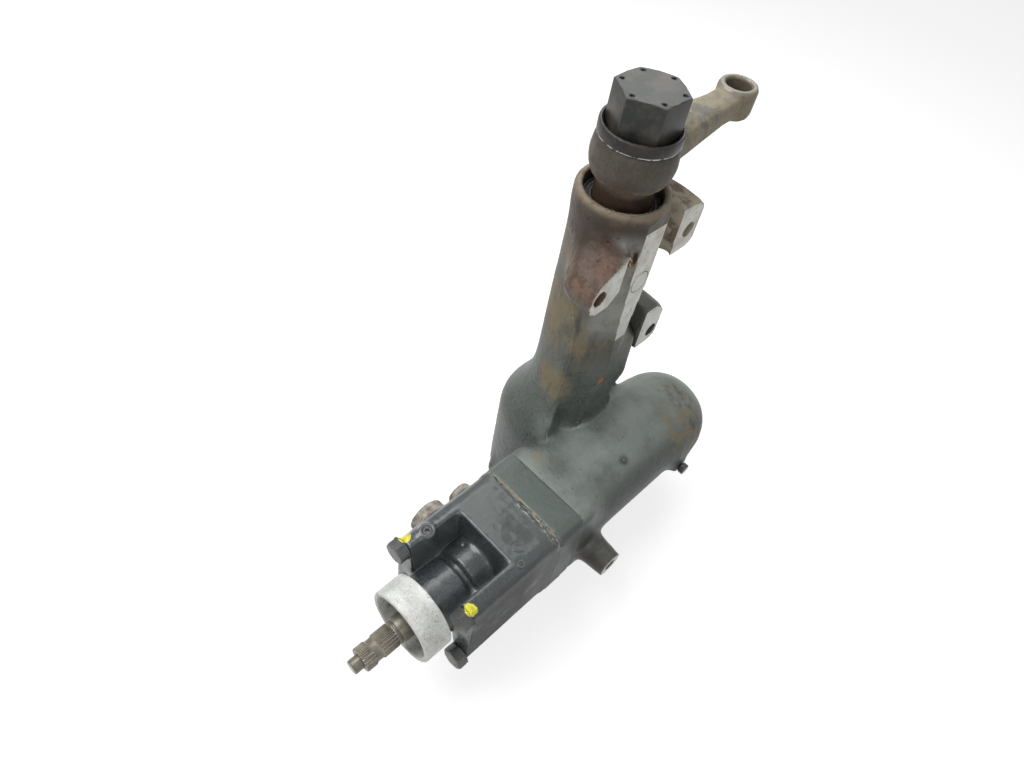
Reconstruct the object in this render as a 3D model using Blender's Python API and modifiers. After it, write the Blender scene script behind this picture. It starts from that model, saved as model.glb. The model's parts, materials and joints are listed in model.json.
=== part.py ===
"""Hydraulic recirculating-ball steering gearbox, modelled as the pieces that it comes apart into.

Layout frame: the sector shaft stands on the vertical line x = y = 0, and the worm lies along Y at
x = CENTRE_DISTANCE, z = 0. The input shaft points to -Y and the pitman arm to +Y. The whole layout is
parented to an empty that lifts it onto the plane z = 0, centred on its bounding box.
"""

import math

import bmesh
import bpy
from mathutils import Vector

MM = 0.001
CLEARANCE = 0.3 * MM

# Main dimensions, heights from the worm's axis and stations along Y
CENTRE_DISTANCE = 85 * MM

# Rack and sector teeth
MODULE = 7.5 * MM
FULL_CIRCLE_TEETH = 13
SECTOR_TEETH_EACH_SIDE = 2
PRESSURE_ANGLE = math.radians(25)
ADDENDUM = 6.5 * MM
DEDENDUM = 8.2 * MM
BACKLASH = 0.7 * MM
GEAR_HALF_FACE = 36 * MM
GEAR_SIDE_ROOM = 3 * MM
GEAR_TIP_ROOM = 3.2 * MM
PITCH_RADIUS = MODULE * FULL_CIRCLE_TEETH / 2
TIP_RADIUS = PITCH_RADIUS + ADDENDUM
ROOT_RADIUS = PITCH_RADIUS - DEDENDUM
GEAR_CAVITY_RADIUS = TIP_RADIUS + GEAR_TIP_ROOM
GEAR_CAVITY_TOP = GEAR_HALF_FACE + GEAR_SIDE_ROOM

# Sector tube and drum of the main casting
MOUTH_HEIGHT = 365 * MM
TUBE_RADIUS = 46 * MM
COLLAR_RADIUS = 47.5 * MM
COLLAR_HEIGHT = 29 * MM
DRUM_RADIUS = 78.5 * MM
DRUM_SHOULDER = 66 * MM
FLARE_TOP = 146 * MM
DRUM_BOTTOM = -94 * MM
MOUTH_BORE_RADIUS = 39.5 * MM
MOUTH_DEPTH = 19 * MM

# Sector shaft, its bearings and seals
SHAFT_RADIUS = 29 * MM
TRUNNION_RADIUS = 22 * MM
TRUNNION_LENGTH = 42 * MM
BEARING_WALL = 4.2 * MM
GEAR_BEARING_LENGTH = 40 * MM
ARM_BEARING_LENGTH = 30 * MM
COVER_BEARING_LENGTH = 30 * MM
CORE_RELIEF = 2.2 * MM
SEAL_WALL = 9 * MM
SEAL_LENGTH = 12 * MM
SEAL_SPACING = 4 * MM
DUST_SEAL_LENGTH = 6 * MM

# Pitman arm, nut and lock ring
HUB_GAP = 15 * MM
HUB_BOTTOM = MOUTH_HEIGHT + HUB_GAP
HUB_HEIGHT = 39 * MM
HUB_RADIUS = 41.6 * MM
HUB_FOOT_RADIUS = 35 * MM
HUB_BORE_LARGE = 27.5 * MM
HUB_BORE_SMALL = 24.5 * MM
SERRATIONS = 18
SERRATION_DEPTH = 1.2 * MM
ARM_LENGTH = 173 * MM
ARM_ANGLE = math.radians(92)
ARM_ROOT_WIDTH = 50 * MM
ARM_ROOT_DEPTH = 36 * MM
ARM_NECK_WIDTH = 34 * MM
ARM_NECK_DEPTH = 27 * MM
EYE_RADIUS = 21.5 * MM
EYE_HEIGHT = 32 * MM
EYE_TOP = HUB_BOTTOM + 34 * MM
EYE_RIM_RADIUS = 20 * MM
EYE_RIM_HEIGHT = 1.5 * MM
EYE_BORE_TOP = 12.5 * MM
EYE_BORE_BOTTOM = 11 * MM
NUT_ACROSS_FLATS = 60 * MM
NUT_TOP = HUB_BOTTOM + 85 * MM
NUT_THREAD_RADIUS = 19.5 * MM
NUT_CROWN = 14 * MM
NUT_CHAMFER = 0.22
NUT_MARK_SIZE = 3.2 * MM
NUT_MARK_DEPTH = 1.6 * MM
LOCK_RING_RADIUS = 39.5 * MM
LOCK_RING_FLOOR = 3.7 * MM
LOCK_RING_HEIGHT = 12.7 * MM
LOCK_RING_LIP = 3.4 * MM

# Cylinder, piston and worm
CYLINDER_RADIUS = 62 * MM
CYLINDER_BORE = 49 * MM
CYLINDER_END = 169 * MM
CYLINDER_BORE_END = 141 * MM
CYLINDER_SWELL = 68 * MM
PISTON_FRONT = -66 * MM
PISTON_REAR = 98 * MM
RACK_POCKET = 61 * MM
PISTON_RING_STATION = 85 * MM
PISTON_RING_WIDTH = 4 * MM
PISTON_RING_DEPTH = 4 * MM
WORM_RADIUS = 14.3 * MM
WORM_LEAD = 16 * MM
WORM_FREE_END = 42 * MM
WORM_THREAD_START = -92 * MM
BALL_RADIUS = 3.2 * MM
BALL_PITCH_RADIUS = 15.5 * MM
BALL_TRAIN_START = -46 * MM
BALLS_IN_TRAIN = 34
BALL_OVERLAP = 0.6 * MM
TRACK_CLEARANCE = 1.2 * MM
NUT_BORE_RADIUS = 16.9 * MM
NUT_BORE_DEPTH = 150 * MM
GUIDE_RADIUS = 4.6 * MM
GUIDE_REACH = 34 * MM
GUIDE_POCKET_FLOOR = 27 * MM
GUIDE_POCKET_HALF_WIDTH = 10 * MM

# Bearing block
FLANGE_FACE = -123 * MM
BLOCK_WIDTH = 123 * MM
BLOCK_HEIGHT = 132 * MM
BLOCK_LENGTH = 37.6 * MM
BLOCK_CORNER = 15 * MM
BLOCK_LOBE_SIDE = BLOCK_WIDTH / 2 - 14.5 * MM
BLOCK_LOBE_DROP = BLOCK_HEIGHT / 2 + 1 * MM
BLOCK_LOBE_RADIUS = 12 * MM
SPIGOT_LENGTH = 8 * MM
WORM_BEARING_RADIUS = 32 * MM
WORM_BEARING_LENGTH = 20 * MM
WORM_BEARING_BORE = 18.3 * MM
BEARING_WALL_END = 3.7 * MM
BEARING_NUT_LENGTH = 8 * MM
BLOCK_PASSAGE = 24 * MM

# Valve housing
VALVE_FLANGE_LENGTH = 8.5 * MM
VALVE_BODY_INSET = 1.2 * MM
VALVE_BACK_LENGTH = 59 * MM
VALVE_LENGTH = 127 * MM
NOSE_LENGTH = 11 * MM
NOSE_RADIUS = 36 * MM
BARREL_RADIUS = 35.5 * MM
BARREL_BACK_RADIUS = 38.5 * MM
BARREL_GROOVE_RADIUS = 29.5 * MM
BARREL_GROOVE_WIDTH = 7 * MM
BARREL_BACK_LENGTH = 31 * MM
POCKET_HALF_WIDTH = 41 * MM
POCKET_SIDE_SLOPE = 9 * MM
POCKET_BACK_SLOPE = 5 * MM
POCKET_FLOOR = 20 * MM
SLEEVE_RADIUS = 26 * MM
SLEEVE_LENGTH = 90 * MM
SLEEVE_SEAT_RADIUS = 19 * MM
SLEEVE_SEAT_LENGTH = 12 * MM
ROTOR_RADIUS = 16 * MM
INPUT_SHAFT_RADIUS = 15 * MM
INPUT_BEARING_WALL = 5.4 * MM
INPUT_BEARING_LENGTH = 20 * MM
INPUT_SEAL_WALL = 8.4 * MM
INPUT_SEAL_LENGTH = 9 * MM
TWIST_LIMIT = math.radians(5)
DOG_WIDTH = 9 * MM
TORSION_BAR_RADIUS = 4.5 * MM
TORSION_HEAD_RADIUS = 6 * MM
TORSION_HEAD_LENGTH = 16 * MM
PIN_RADIUS = 2 * MM

# Ports and small fittings on the valve housing
BALL_PLUG_OFFSET = 17 * MM
PORT_STATION = -236 * MM
PORT_DROP = 26 * MM
PORT_BOSS_RADIUS = 22 * MM
PORT_BOSS_REACH = 15 * MM
PORT_BORE_RADIUS = 9 * MM
PORT_DEPTH = 34 * MM
RETURN_PORT_STATION = -193 * MM
RETURN_PORT_DROP = 18 * MM
RETURN_BOSS_RADIUS = 15 * MM
RETURN_BOSS_REACH = 9 * MM
RETURN_BORE_RADIUS = 6.5 * MM
RETURN_DEPTH = 24 * MM

# Input cup and the shaft's outer end
CUP_RADIUS = 44.6 * MM
CUP_BORE = 38 * MM
CUP_LENGTH = 33.5 * MM
CUP_FLOOR = 4 * MM
CUP_SHAFT_HOLE = 22 * MM
SHAFT_TIP = -394.6 * MM
PILOT_RADIUS = 8 * MM
PILOT_LENGTH = 11 * MM
SPLINE_RADIUS = 13.4 * MM
SPLINE_TEETH = 22
SPLINE_DEPTH = 0.9 * MM
OUTER_BAND_LENGTH = 13 * MM
CLAMP_GROOVE_RADIUS = 12.2 * MM
CLAMP_GROOVE_LENGTH = 9 * MM
INNER_BAND_LENGTH = 19 * MM

# Flange bolts and cover bolts
BOLT_RADIUS = 7.5 * MM
BOLT_INSET_X = 11 * MM
BOLT_INSET_Z = 16 * MM
BOLT_SPREAD_X = BLOCK_WIDTH / 2 - BOLT_INSET_X
BOLT_SPREAD_Z = BLOCK_HEIGHT / 2 - BOLT_INSET_Z
BOLT_HEAD_AF = 24 * MM
BOLT_HEAD_HEIGHT = 10 * MM
BOLT_FLANGE_RADIUS = 14 * MM
BOLT_FLANGE_HEIGHT = 2.2 * MM
BOLT_GRIP = 18 * MM
HOLE_CLEARANCE = 0.5 * MM
COVER_BOLTS = 6
COVER_BOLT_CIRCLE = 72 * MM
COVER_BOLT_RADIUS = 5 * MM
COVER_BOLT_AF = 16 * MM
COVER_BOLT_HEAD = 8 * MM
COVER_BOLT_GRIP = 20 * MM
COVER_LOBE_RADIUS = 11 * MM
COVER_THICKNESS = 14 * MM
COVER_SPIGOT = 10 * MM
COVER_FLOOR_TOP = -80 * MM
COVER_FLOOR_THICKNESS = 16 * MM
COVER_POCKET_RADIUS = 20 * MM
ADJUSTER_RADIUS = 8 * MM
ADJUSTER_HEAD_RADIUS = 12 * MM
ADJUSTER_HEAD_HEIGHT = 5 * MM
ADJUSTER_NUT_AF = 24 * MM
ADJUSTER_NUT_HEIGHT = 8 * MM
ADJUSTER_TAIL = 3 * MM

# Mounting pads, rail and bosses of the main casting
MOUNT_FACE = 48 * MM
MOUNT_HOLE_RADIUS = 8.5 * MM
MOUNT_NEAR_Y = -66 * MM
MOUNT_NEAR_DROP = 72 * MM
MOUNT_NEAR_HEIGHT = MOUTH_HEIGHT - MOUNT_NEAR_DROP
MOUNT_FAR_Y = 65 * MM
MOUNT_FAR_DROP = 50 * MM
MOUNT_FAR_HEIGHT = MOUTH_HEIGHT - MOUNT_FAR_DROP
MOUNT_LOW_Y = 69 * MM
MOUNT_LOW_HEIGHT = 164 * MM
NEAR_LUG = (
    (-34, 43), (-28, 32), (-8, 23), (4, 18), (12, 4), (14, -6), (11, -16), (0, -22), (-18, -23), (-32, -8)
)
FAR_LUG = ((-25, 35), (4, 33), (13, 27), (18, 19), (18, -14), (14, -22), (5, -26), (-22, -26))
LOW_LUG = ((-25, 43), (-6, 43), (5, 36), (14, 24), (14, -6), (10, -14), (2, -18), (-26, -18))
LUG_STATIONS = ((48, 1, 0, 0), (45, 1.04, 0, 1), (24, 1.12, 0.03, 2), (10, 1.2, 0.12, 2.5), (-14, 1.25, 1, 0))
LUG_ROOT_INNER = 8 * MM
LUG_BACK = -20 * MM
RAIL_TOP = MOUTH_HEIGHT - 7 * MM
RAIL_BOTTOM = 160 * MM
RAIL_TOP_HALF = 19 * MM
RAIL_BOTTOM_HALF = 5 * MM
SPOT_HEIGHT = MOUTH_HEIGHT - 86 * MM
SPOT_RADIUS = 12.5 * MM
SPOT_RISE = 0.7 * MM
APRON_TOP = 190 * MM
APRON_OUTLINE = ((-5, -42), (18, -48), (37, -36), (46, -18), (46, 16), (38, 38), (18, 47), (-5, 42))
RIDGE_NEAR = -62
RIDGE_FAR = 64
STUB_STATION = -92 * MM
STUB_DROP = 28 * MM
STUB_ROOT_RADIUS = 22 * MM
STUB_END_RADIUS = 17.5 * MM
STUB_REACH = 97 * MM
STUB_BORE_RADIUS = 7.5 * MM
STUB_BORE_DEPTH = 26 * MM
NECK_START = 19 * MM
NECK_END = 57 * MM
GALLERY_SIDE = 44 * MM
GALLERY_DROP = 37.5 * MM
GALLERY_RADIUS = 10 * MM
GALLERY_END = -8 * MM
LIMITER_STATION = 85 * MM
LIMITER_DROP = 22 * MM
LIMITER_BOSS_RADIUS = 12 * MM
LIMITER_BOSS_REACH = 69 * MM
LIMITER_AF = 14 * MM
LIMITER_REACH = 7 * MM
NIPPLE_HEIGHT = MOUTH_HEIGHT - 48 * MM
NIPPLE_ANGLE = math.radians(-32)

# Sides of the round pieces
FINE = 24
MEDIUM = 18
SMALL = 12

TURN = {"X": (0, math.pi / 2, 0), "Y": (-math.pi / 2, 0, 0), "Z": (0, 0, 0)}
FLAT = {
    "X": lambda u, v: (-v, u),
    "Y": lambda u, v: (u, -v),
    "Z": lambda u, v: (u, v),
}
WORM_AXIS = Vector((CENTRE_DISTANCE, 0, 0))

FINISHES = {
    "grey_green_paint": ((0.10, 0.12, 0.11), 0.55, 0.2),
    "black_paint": ((0.025, 0.03, 0.032), 0.3, 0.1),
    "forged_steel": ((0.16, 0.14, 0.12), 0.6, 0.7),
    "black_oxide": ((0.05, 0.055, 0.055), 0.4, 0.6),
    "bright_steel": ((0.55, 0.55, 0.54), 0.3, 1.0),
    "aluminium": ((0.72, 0.72, 0.70), 0.45, 1.0),
    "brass": ((0.6, 0.42, 0.15), 0.4, 1.0),
    "rubber": ((0.02, 0.02, 0.02), 0.8, 0.0),
}


def clear_scene():
    """Removes whatever the scene holds."""
    for obj in list(bpy.data.objects):
        bpy.data.objects.remove(obj, do_unlink=True)


def collection(name):
    """A new collection in the scene."""
    made = bpy.data.collections.new(name)
    bpy.context.scene.collection.children.link(made)
    return made


def add_mesh(name, mesh, at=(0, 0, 0), axis="Z"):
    """An object for the mesh, with its local Z laid along the given axis."""
    obj = bpy.data.objects.new(name, mesh)
    obj.location = at
    obj.rotation_euler = TURN[axis]
    WORKSHOP.objects.link(obj)
    return obj


def bake(obj):
    """Gives the object the mesh that its modifiers make."""
    graph = bpy.context.evaluated_depsgraph_get()
    made = bpy.data.meshes.new_from_object(obj.evaluated_get(graph))
    obj.modifiers.clear()
    obj.data = made
    return obj


def turned(name, outer, bore=(), at=(0, 0, 0), axis="Z", sides=MEDIUM):
    """A turned piece. outer runs from its high end to its low end as (radius, station), bore back up."""
    points = list(outer) + list(bore)
    if not bore:
        points = [(0, outer[0][1])] + points + [(0, outer[-1][1])]
    links = [(i, i + 1) for i in range(len(points) - 1)]
    if bore:
        links.append((len(points) - 1, 0))
    mesh = bpy.data.meshes.new(name)
    mesh.from_pydata([(radius, 0, station) for radius, station in points], links, [])
    obj = add_mesh(name, mesh, at, axis)
    screw = obj.modifiers.new("turn", "SCREW")
    screw.steps = sides
    screw.render_steps = sides
    screw.use_merge_vertices = True
    screw.merge_threshold = 0.00001
    return bake(obj)


def ring(name, outer, inner, low, high, at=(0, 0, 0), axis="Z", sides=MEDIUM):
    """A plain ring."""
    return turned(name, [(outer, high), (outer, low)], [(inner, low), (inner, high)], at, axis, sides)


def rod(name, radius, low, high, at=(0, 0, 0), axis="Z", sides=MEDIUM, end_radius=None):
    """A cylinder, or a cone that has end_radius at its high end."""
    shape = bmesh.new()
    bmesh.ops.create_cone(
        shape,
        cap_ends=True,
        segments=sides,
        radius1=radius,
        radius2=radius if end_radius is None else end_radius,
        depth=high - low,
    )
    bmesh.ops.translate(shape, verts=shape.verts, vec=(0, 0, (low + high) / 2))
    mesh = bpy.data.meshes.new(name)
    shape.to_mesh(mesh)
    shape.free()
    return add_mesh(name, mesh, at, axis)


def block(name, low, high, bevel=0.0):
    """A box between two corners, with its edges rounded by bevel."""
    shape = bmesh.new()
    bmesh.ops.create_cube(shape, size=1)
    size = Vector(high) - Vector(low)
    bmesh.ops.scale(shape, verts=shape.verts, vec=size)
    mesh = bpy.data.meshes.new(name)
    shape.to_mesh(mesh)
    shape.free()
    obj = add_mesh(name, mesh, (Vector(low) + Vector(high)) / 2)
    if bevel:
        soft = obj.modifiers.new("edges", "BEVEL")
        soft.width = bevel
        soft.segments = 2
        bake(obj)
    return obj


def plate(name, outline, low, high, at=(0, 0, 0), axis="Z"):
    """A flat outline, given in the two row axes across the axis, extruded from low to high along it."""
    curve = bpy.data.curves.new(name, "CURVE")
    curve.dimensions = "2D"
    curve.fill_mode = "BOTH"
    curve.extrude = (high - low) / 2
    spline = curve.splines.new("POLY")
    spline.use_cyclic_u = True
    spline.points.add(len(outline) - 1)
    for point, (u, v) in zip(spline.points, outline):
        point.co = (*FLAT[axis](u, v), 0, 1)
    drawn = bpy.data.objects.new(name, curve)
    WORKSHOP.objects.link(drawn)
    graph = bpy.context.evaluated_depsgraph_get()
    mesh = bpy.data.meshes.new_from_object(drawn.evaluated_get(graph))
    bpy.data.objects.remove(drawn, do_unlink=True)
    shape = bmesh.new()
    shape.from_mesh(mesh)
    bmesh.ops.remove_doubles(shape, verts=shape.verts, dist=0.000001)
    bmesh.ops.translate(shape, verts=shape.verts, vec=(0, 0, (low + high) / 2))
    bmesh.ops.recalc_face_normals(shape, faces=shape.faces)
    shape.to_mesh(mesh)
    shape.free()
    return add_mesh(name, mesh, at, axis)


def loft(name, sections):
    """A closed skin through sections that have the same number of points."""
    shape = bmesh.new()
    rings = [[shape.verts.new(point) for point in section] for section in sections]
    count = len(rings[0])
    for first, second in zip(rings, rings[1:]):
        for i in range(count):
            j = (i + 1) % count
            shape.faces.new((first[i], first[j], second[j], second[i]))
    shape.faces.new(rings[0])
    shape.faces.new(rings[-1])
    bmesh.ops.recalc_face_normals(shape, faces=shape.faces)
    mesh = bpy.data.meshes.new(name)
    shape.to_mesh(mesh)
    shape.free()
    return add_mesh(name, mesh)


def tube(name, points, radius, resolution=1):
    """A round tube along points, as a mesh with welded caps."""
    curve = bpy.data.curves.new(name, "CURVE")
    curve.dimensions = "3D"
    curve.bevel_depth = radius
    curve.bevel_resolution = resolution
    curve.use_fill_caps = True
    spline = curve.splines.new("POLY")
    spline.points.add(len(points) - 1)
    for point, place in zip(spline.points, points):
        point.co = (*place, 1)
    drawn = bpy.data.objects.new(name, curve)
    WORKSHOP.objects.link(drawn)
    graph = bpy.context.evaluated_depsgraph_get()
    mesh = bpy.data.meshes.new_from_object(drawn.evaluated_get(graph))
    bpy.data.objects.remove(drawn, do_unlink=True)
    shape = bmesh.new()
    shape.from_mesh(mesh)
    bmesh.ops.remove_doubles(shape, verts=shape.verts, dist=0.000001)
    bmesh.ops.recalc_face_normals(shape, faces=shape.faces)
    shape.to_mesh(mesh)
    shape.free()
    return add_mesh(name, mesh)


def combine(base, operation, others):
    """One Boolean for each of the others, which are used up."""
    for other in others:
        step = base.modifiers.new(other.name, "BOOLEAN")
        step.operation = operation
        step.solver = "EXACT"
        step.object = other
    bake(base)
    for other in others:
        bpy.data.objects.remove(other, do_unlink=True)
    return base


def join(base, *others):
    """The base with the others joined to it."""
    return combine(base, "UNION", others)


def cut(base, *others):
    """The base with the others cut out of it."""
    return combine(base, "DIFFERENCE", others)


def rounded_rectangle(centre, width, height, radius, corner_steps=3):
    """Points round a rectangle with round corners, anticlockwise."""
    points = []
    for quarter, (side, up) in enumerate(((1, 1), (-1, 1), (-1, -1), (1, -1))):
        for step in range(corner_steps + 1):
            angle = math.pi / 2 * (quarter + step / corner_steps)
            u = centre[0] + side * (width / 2 - radius) + radius * math.cos(angle)
            v = centre[1] + up * (height / 2 - radius) + radius * math.sin(angle)
            points.append((u, v))
    return points


def arc(centre, radius, start, end, steps):
    """Points along an arc, angles in degrees."""
    points = []
    for step in range(steps + 1):
        angle = math.radians(start + (end - start) * step / steps)
        points.append((centre[0] + radius * math.cos(angle), centre[1] + radius * math.sin(angle)))
    return points


def hexagon(across_flats, turn=0.0):
    """The corners of a hexagon."""
    radius = across_flats / math.sqrt(3)
    angles = [turn + math.radians(60 * i) for i in range(6)]
    return [(radius * math.cos(angle), radius * math.sin(angle)) for angle in angles]


def running_bore(radius, sides=MEDIUM):
    """The corner radius of a many-sided bore in which a shaft of this radius turns clear of the flats."""
    return (radius + CLEARANCE / 3) / math.cos(math.pi / sides)


def hex_head(name, across_flats, low, high, at=(0, 0, 0), axis="Z", turn=0.0, crown=True, share=0.6):
    """A hexagon with its corners turned off at the high end, or at the low end where crown is False."""
    head = plate(name, hexagon(across_flats, turn), low, high, at, axis)
    corner = across_flats / math.sqrt(3)
    flat = across_flats / 2
    drop = (corner - flat) * share
    wide = corner + 1 * MM
    over = 1 * MM
    slope = drop / (corner - flat)
    if crown:
        profile = [(flat - over, high + over * slope), (wide, high - drop - over * slope), (wide, low - over)]
    else:
        profile = [(wide, high + over), (wide, low + drop + over * slope), (flat - over, low - over * slope)]
    return combine(head, "INTERSECT", [turned("crown", profile, (), at, axis, SMALL * 2)])


def finish(obj, look, carrier):
    """Shades the piece, gives it its own material and parents it to the empty of its body."""
    colour, roughness, metallic = FINISHES[look]
    material = bpy.data.materials.new(obj.name + "_" + look)
    material.use_nodes = True
    shader = material.node_tree.nodes["Principled BSDF"]
    shader.inputs["Base Color"].default_value = (*colour, 1)
    shader.inputs["Roughness"].default_value = roughness
    shader.inputs["Metallic"].default_value = metallic
    obj.data.materials.clear()
    obj.data.materials.append(material)
    obj.data.shade_smooth()
    obj.data.set_sharp_from_angle(angle=math.radians(32))
    WORKSHOP.objects.unlink(obj)
    PIECES.objects.link(obj)
    obj.parent = carrier
    obj.location = obj.location - carrier.location
    return obj


def empty(name, at, carrier=None):
    """An empty that marks a body's frame."""
    made = bpy.data.objects.new(name, None)
    made.location = at
    made.parent = carrier
    PIECES.objects.link(made)
    return made


def on_worm(y=0.0, dx=0.0, dz=0.0):
    """A point given from the worm's axis."""
    return Vector((CENTRE_DISTANCE + dx, y, dz))


def bolt_places():
    """The four flange bolts' places, as (name number, dx, dz) from the worm's axis."""
    corners = ((-1, 1), (1, 1), (1, -1), (-1, -1))
    return [(i + 1, side * BOLT_SPREAD_X, up * BOLT_SPREAD_Z) for i, (side, up) in enumerate(corners)]


def cover_bolt_places():
    """The cover bolts' places round the sector's axis."""
    places = []
    for i in range(COVER_BOLTS):
        angle = 2 * math.pi * i / COVER_BOLTS
        places.append((i + 1, COVER_BOLT_CIRCLE * math.cos(angle), COVER_BOLT_CIRCLE * math.sin(angle)))
    return places


# Places worked out from the driving dimensions
BLOCK_FACE = FLANGE_FACE - CLEARANCE - BLOCK_LENGTH
VALVE_START = BLOCK_FACE - CLEARANCE
VALVE_FRONT = VALVE_START - VALVE_LENGTH
NOSE_END = VALVE_FRONT - NOSE_LENGTH
CUP_BASE = NOSE_END - CLEARANCE
HUB_TOP = HUB_BOTTOM + HUB_HEIGHT
LOCK_RING_BASE = HUB_TOP + CLEARANCE
NUT_BASE = LOCK_RING_BASE + LOCK_RING_FLOOR + CLEARANCE
COVER_FACE = DRUM_BOTTOM - CLEARANCE
COVER_BOTTOM = COVER_FACE - COVER_THICKNESS
GEAR_BEARING_BASE = GEAR_CAVITY_TOP + CLEARANCE
GEAR_BEARING_TOP = GEAR_BEARING_BASE + GEAR_BEARING_LENGTH
BEARING_SEAT = SHAFT_RADIUS + CLEARANCE + BEARING_WALL + CLEARANCE
SEAL_SEAT = SHAFT_RADIUS + CLEARANCE + SEAL_WALL + CLEARANCE
MOUTH_FLOOR = MOUTH_HEIGHT - MOUTH_DEPTH
SEAL_FLOOR = MOUTH_FLOOR - SEAL_LENGTH - SEAL_SPACING
ARM_BEARING_BASE = SEAL_FLOOR - ARM_BEARING_LENGTH - CLEARANCE
TRUNNION_END = -GEAR_HALF_FACE - TRUNNION_LENGTH
WORM_BEARING_FACE = FLANGE_FACE - BEARING_WALL_END
WORM_BEARING_END = WORM_BEARING_FACE - CLEARANCE - WORM_BEARING_LENGTH
BEARING_NUT_END = WORM_BEARING_END - CLEARANCE - BEARING_NUT_LENGTH
WORM_HEAD_END = VALVE_START - 5 * MM
SLEEVE_START = WORM_HEAD_END - CLEARANCE
SLEEVE_SEAT_END = SLEEVE_START - SLEEVE_SEAT_LENGTH
SLEEVE_END = SLEEVE_START - SLEEVE_LENGTH
SLEEVE_BORE_END = SLEEVE_END - 5 * MM
ROTOR_START = SLEEVE_SEAT_END - 1 * MM
INPUT_BEARING_START = SLEEVE_BORE_END - 1.5 * MM
INPUT_BEARING_END = INPUT_BEARING_START - INPUT_BEARING_LENGTH
INPUT_SEAL_START = NOSE_END + INPUT_SEAL_LENGTH + 3 * MM


def flank(side, steps=5):
    """One flank of a sector tooth centred on angle 0, as (radius, angle) from its root to its tip."""
    base = PITCH_RADIUS * math.cos(PRESSURE_ANGLE)
    involute = math.tan(PRESSURE_ANGLE) - PRESSURE_ANGLE
    half = math.pi / (2 * FULL_CIRCLE_TEETH) - BACKLASH / (4 * PITCH_RADIUS)
    points = [(ROOT_RADIUS, side * (half + involute))]
    for step in range(steps + 1):
        radius = base + (TIP_RADIUS - base) * step / steps
        roll = math.acos(min(1.0, base / radius))
        angle = half + involute - (math.tan(roll) - roll)
        points.append((radius, side * angle))
    return points


def sector_outline():
    """The toothed sector seen along its axis: teeth towards +X and a round hub behind."""
    points = []
    for tooth in range(-SECTOR_TEETH_EACH_SIDE, SECTOR_TEETH_EACH_SIDE + 1):
        centre = 2 * math.pi * tooth / FULL_CIRCLE_TEETH
        polar = flank(-1) + flank(1)[::-1]
        points += [(r * math.cos(centre + a), r * math.sin(centre + a)) for r, a in polar]
    edge = math.degrees(2 * math.pi * SECTOR_TEETH_EACH_SIDE / FULL_CIRCLE_TEETH) + 24
    points += arc((0, 0), SHAFT_RADIUS + 5 * MM, edge, 360 - edge, 10)
    return points


def rack_tooth_outline(centre):
    """One rack tooth in X and Y, from under its root to its tip, which points at the sector."""
    root = PITCH_RADIUS + DEDENDUM + 1 * MM
    tip = PITCH_RADIUS + GEAR_TIP_ROOM - ADDENDUM - GEAR_TIP_ROOM
    slope = math.tan(PRESSURE_ANGLE)
    half = math.pi * MODULE / 4 - BACKLASH / 4
    wide = half + (root - PITCH_RADIUS) * slope
    narrow = half - (PITCH_RADIUS - tip) * slope
    return [(root, centre - wide), (root, centre + wide), (tip, centre + narrow), (tip, centre - narrow)]


def helix(start, end, radius, steps_per_turn=12):
    """Points along the ball track's centre line between two stations along the worm."""
    turns = abs(end - start) / WORM_LEAD
    count = max(2, round(turns * steps_per_turn))
    points = []
    for step in range(count + 1):
        y = start + (end - start) * step / count
        angle = 2 * math.pi * (y - BALL_TRAIN_START) / WORM_LEAD
        points.append(on_worm(y, radius * math.cos(angle), -radius * math.sin(angle)))
    return points


def sector_column():
    """The tube and drum round the sector shaft, without its bores."""
    profile = [
        (COLLAR_RADIUS - 2 * MM, MOUTH_HEIGHT),
        (COLLAR_RADIUS, MOUTH_HEIGHT - 2.5 * MM),
        (COLLAR_RADIUS, MOUTH_HEIGHT - COLLAR_HEIGHT),
        (TUBE_RADIUS, MOUTH_HEIGHT - COLLAR_HEIGHT - 14 * MM),
        (TUBE_RADIUS, FLARE_TOP),
    ]
    rise = FLARE_TOP - DRUM_SHOULDER
    for share, drop in ((0.04, 0.24), (0.16, 0.47), (0.4, 0.68), (0.72, 0.86), (1.0, 1.0)):
        profile.append((TUBE_RADIUS + (DRUM_RADIUS - TUBE_RADIUS) * share, FLARE_TOP - rise * drop))
    profile.append((DRUM_RADIUS, DRUM_BOTTOM))
    return turned("main_housing", profile, sides=FINE)


def sector_bore():
    """Everything that is bored out along the sector's axis."""
    relief = SHAFT_RADIUS + BEARING_WALL + CLEARANCE + CORE_RELIEF
    over = 5 * MM
    profile = [
        (MOUTH_BORE_RADIUS + 1.5 * MM, MOUTH_HEIGHT + over),
        (MOUTH_BORE_RADIUS + 1.5 * MM, MOUTH_HEIGHT),
        (MOUTH_BORE_RADIUS, MOUTH_HEIGHT - 1.5 * MM),
        (MOUTH_BORE_RADIUS, MOUTH_FLOOR),
        (SEAL_SEAT, MOUTH_FLOOR),
        (SEAL_SEAT, SEAL_FLOOR),
        (BEARING_SEAT, SEAL_FLOOR),
        (BEARING_SEAT, ARM_BEARING_BASE),
        (relief, ARM_BEARING_BASE - 4 * MM),
        (relief, GEAR_BEARING_TOP + 6 * MM),
        (BEARING_SEAT, GEAR_BEARING_TOP + 2 * MM),
        (BEARING_SEAT, GEAR_CAVITY_TOP),
        (GEAR_CAVITY_RADIUS, GEAR_CAVITY_TOP),
        (GEAR_CAVITY_RADIUS, DRUM_BOTTOM - over),
    ]
    return turned("sector_bore", profile, sides=FINE)


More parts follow.
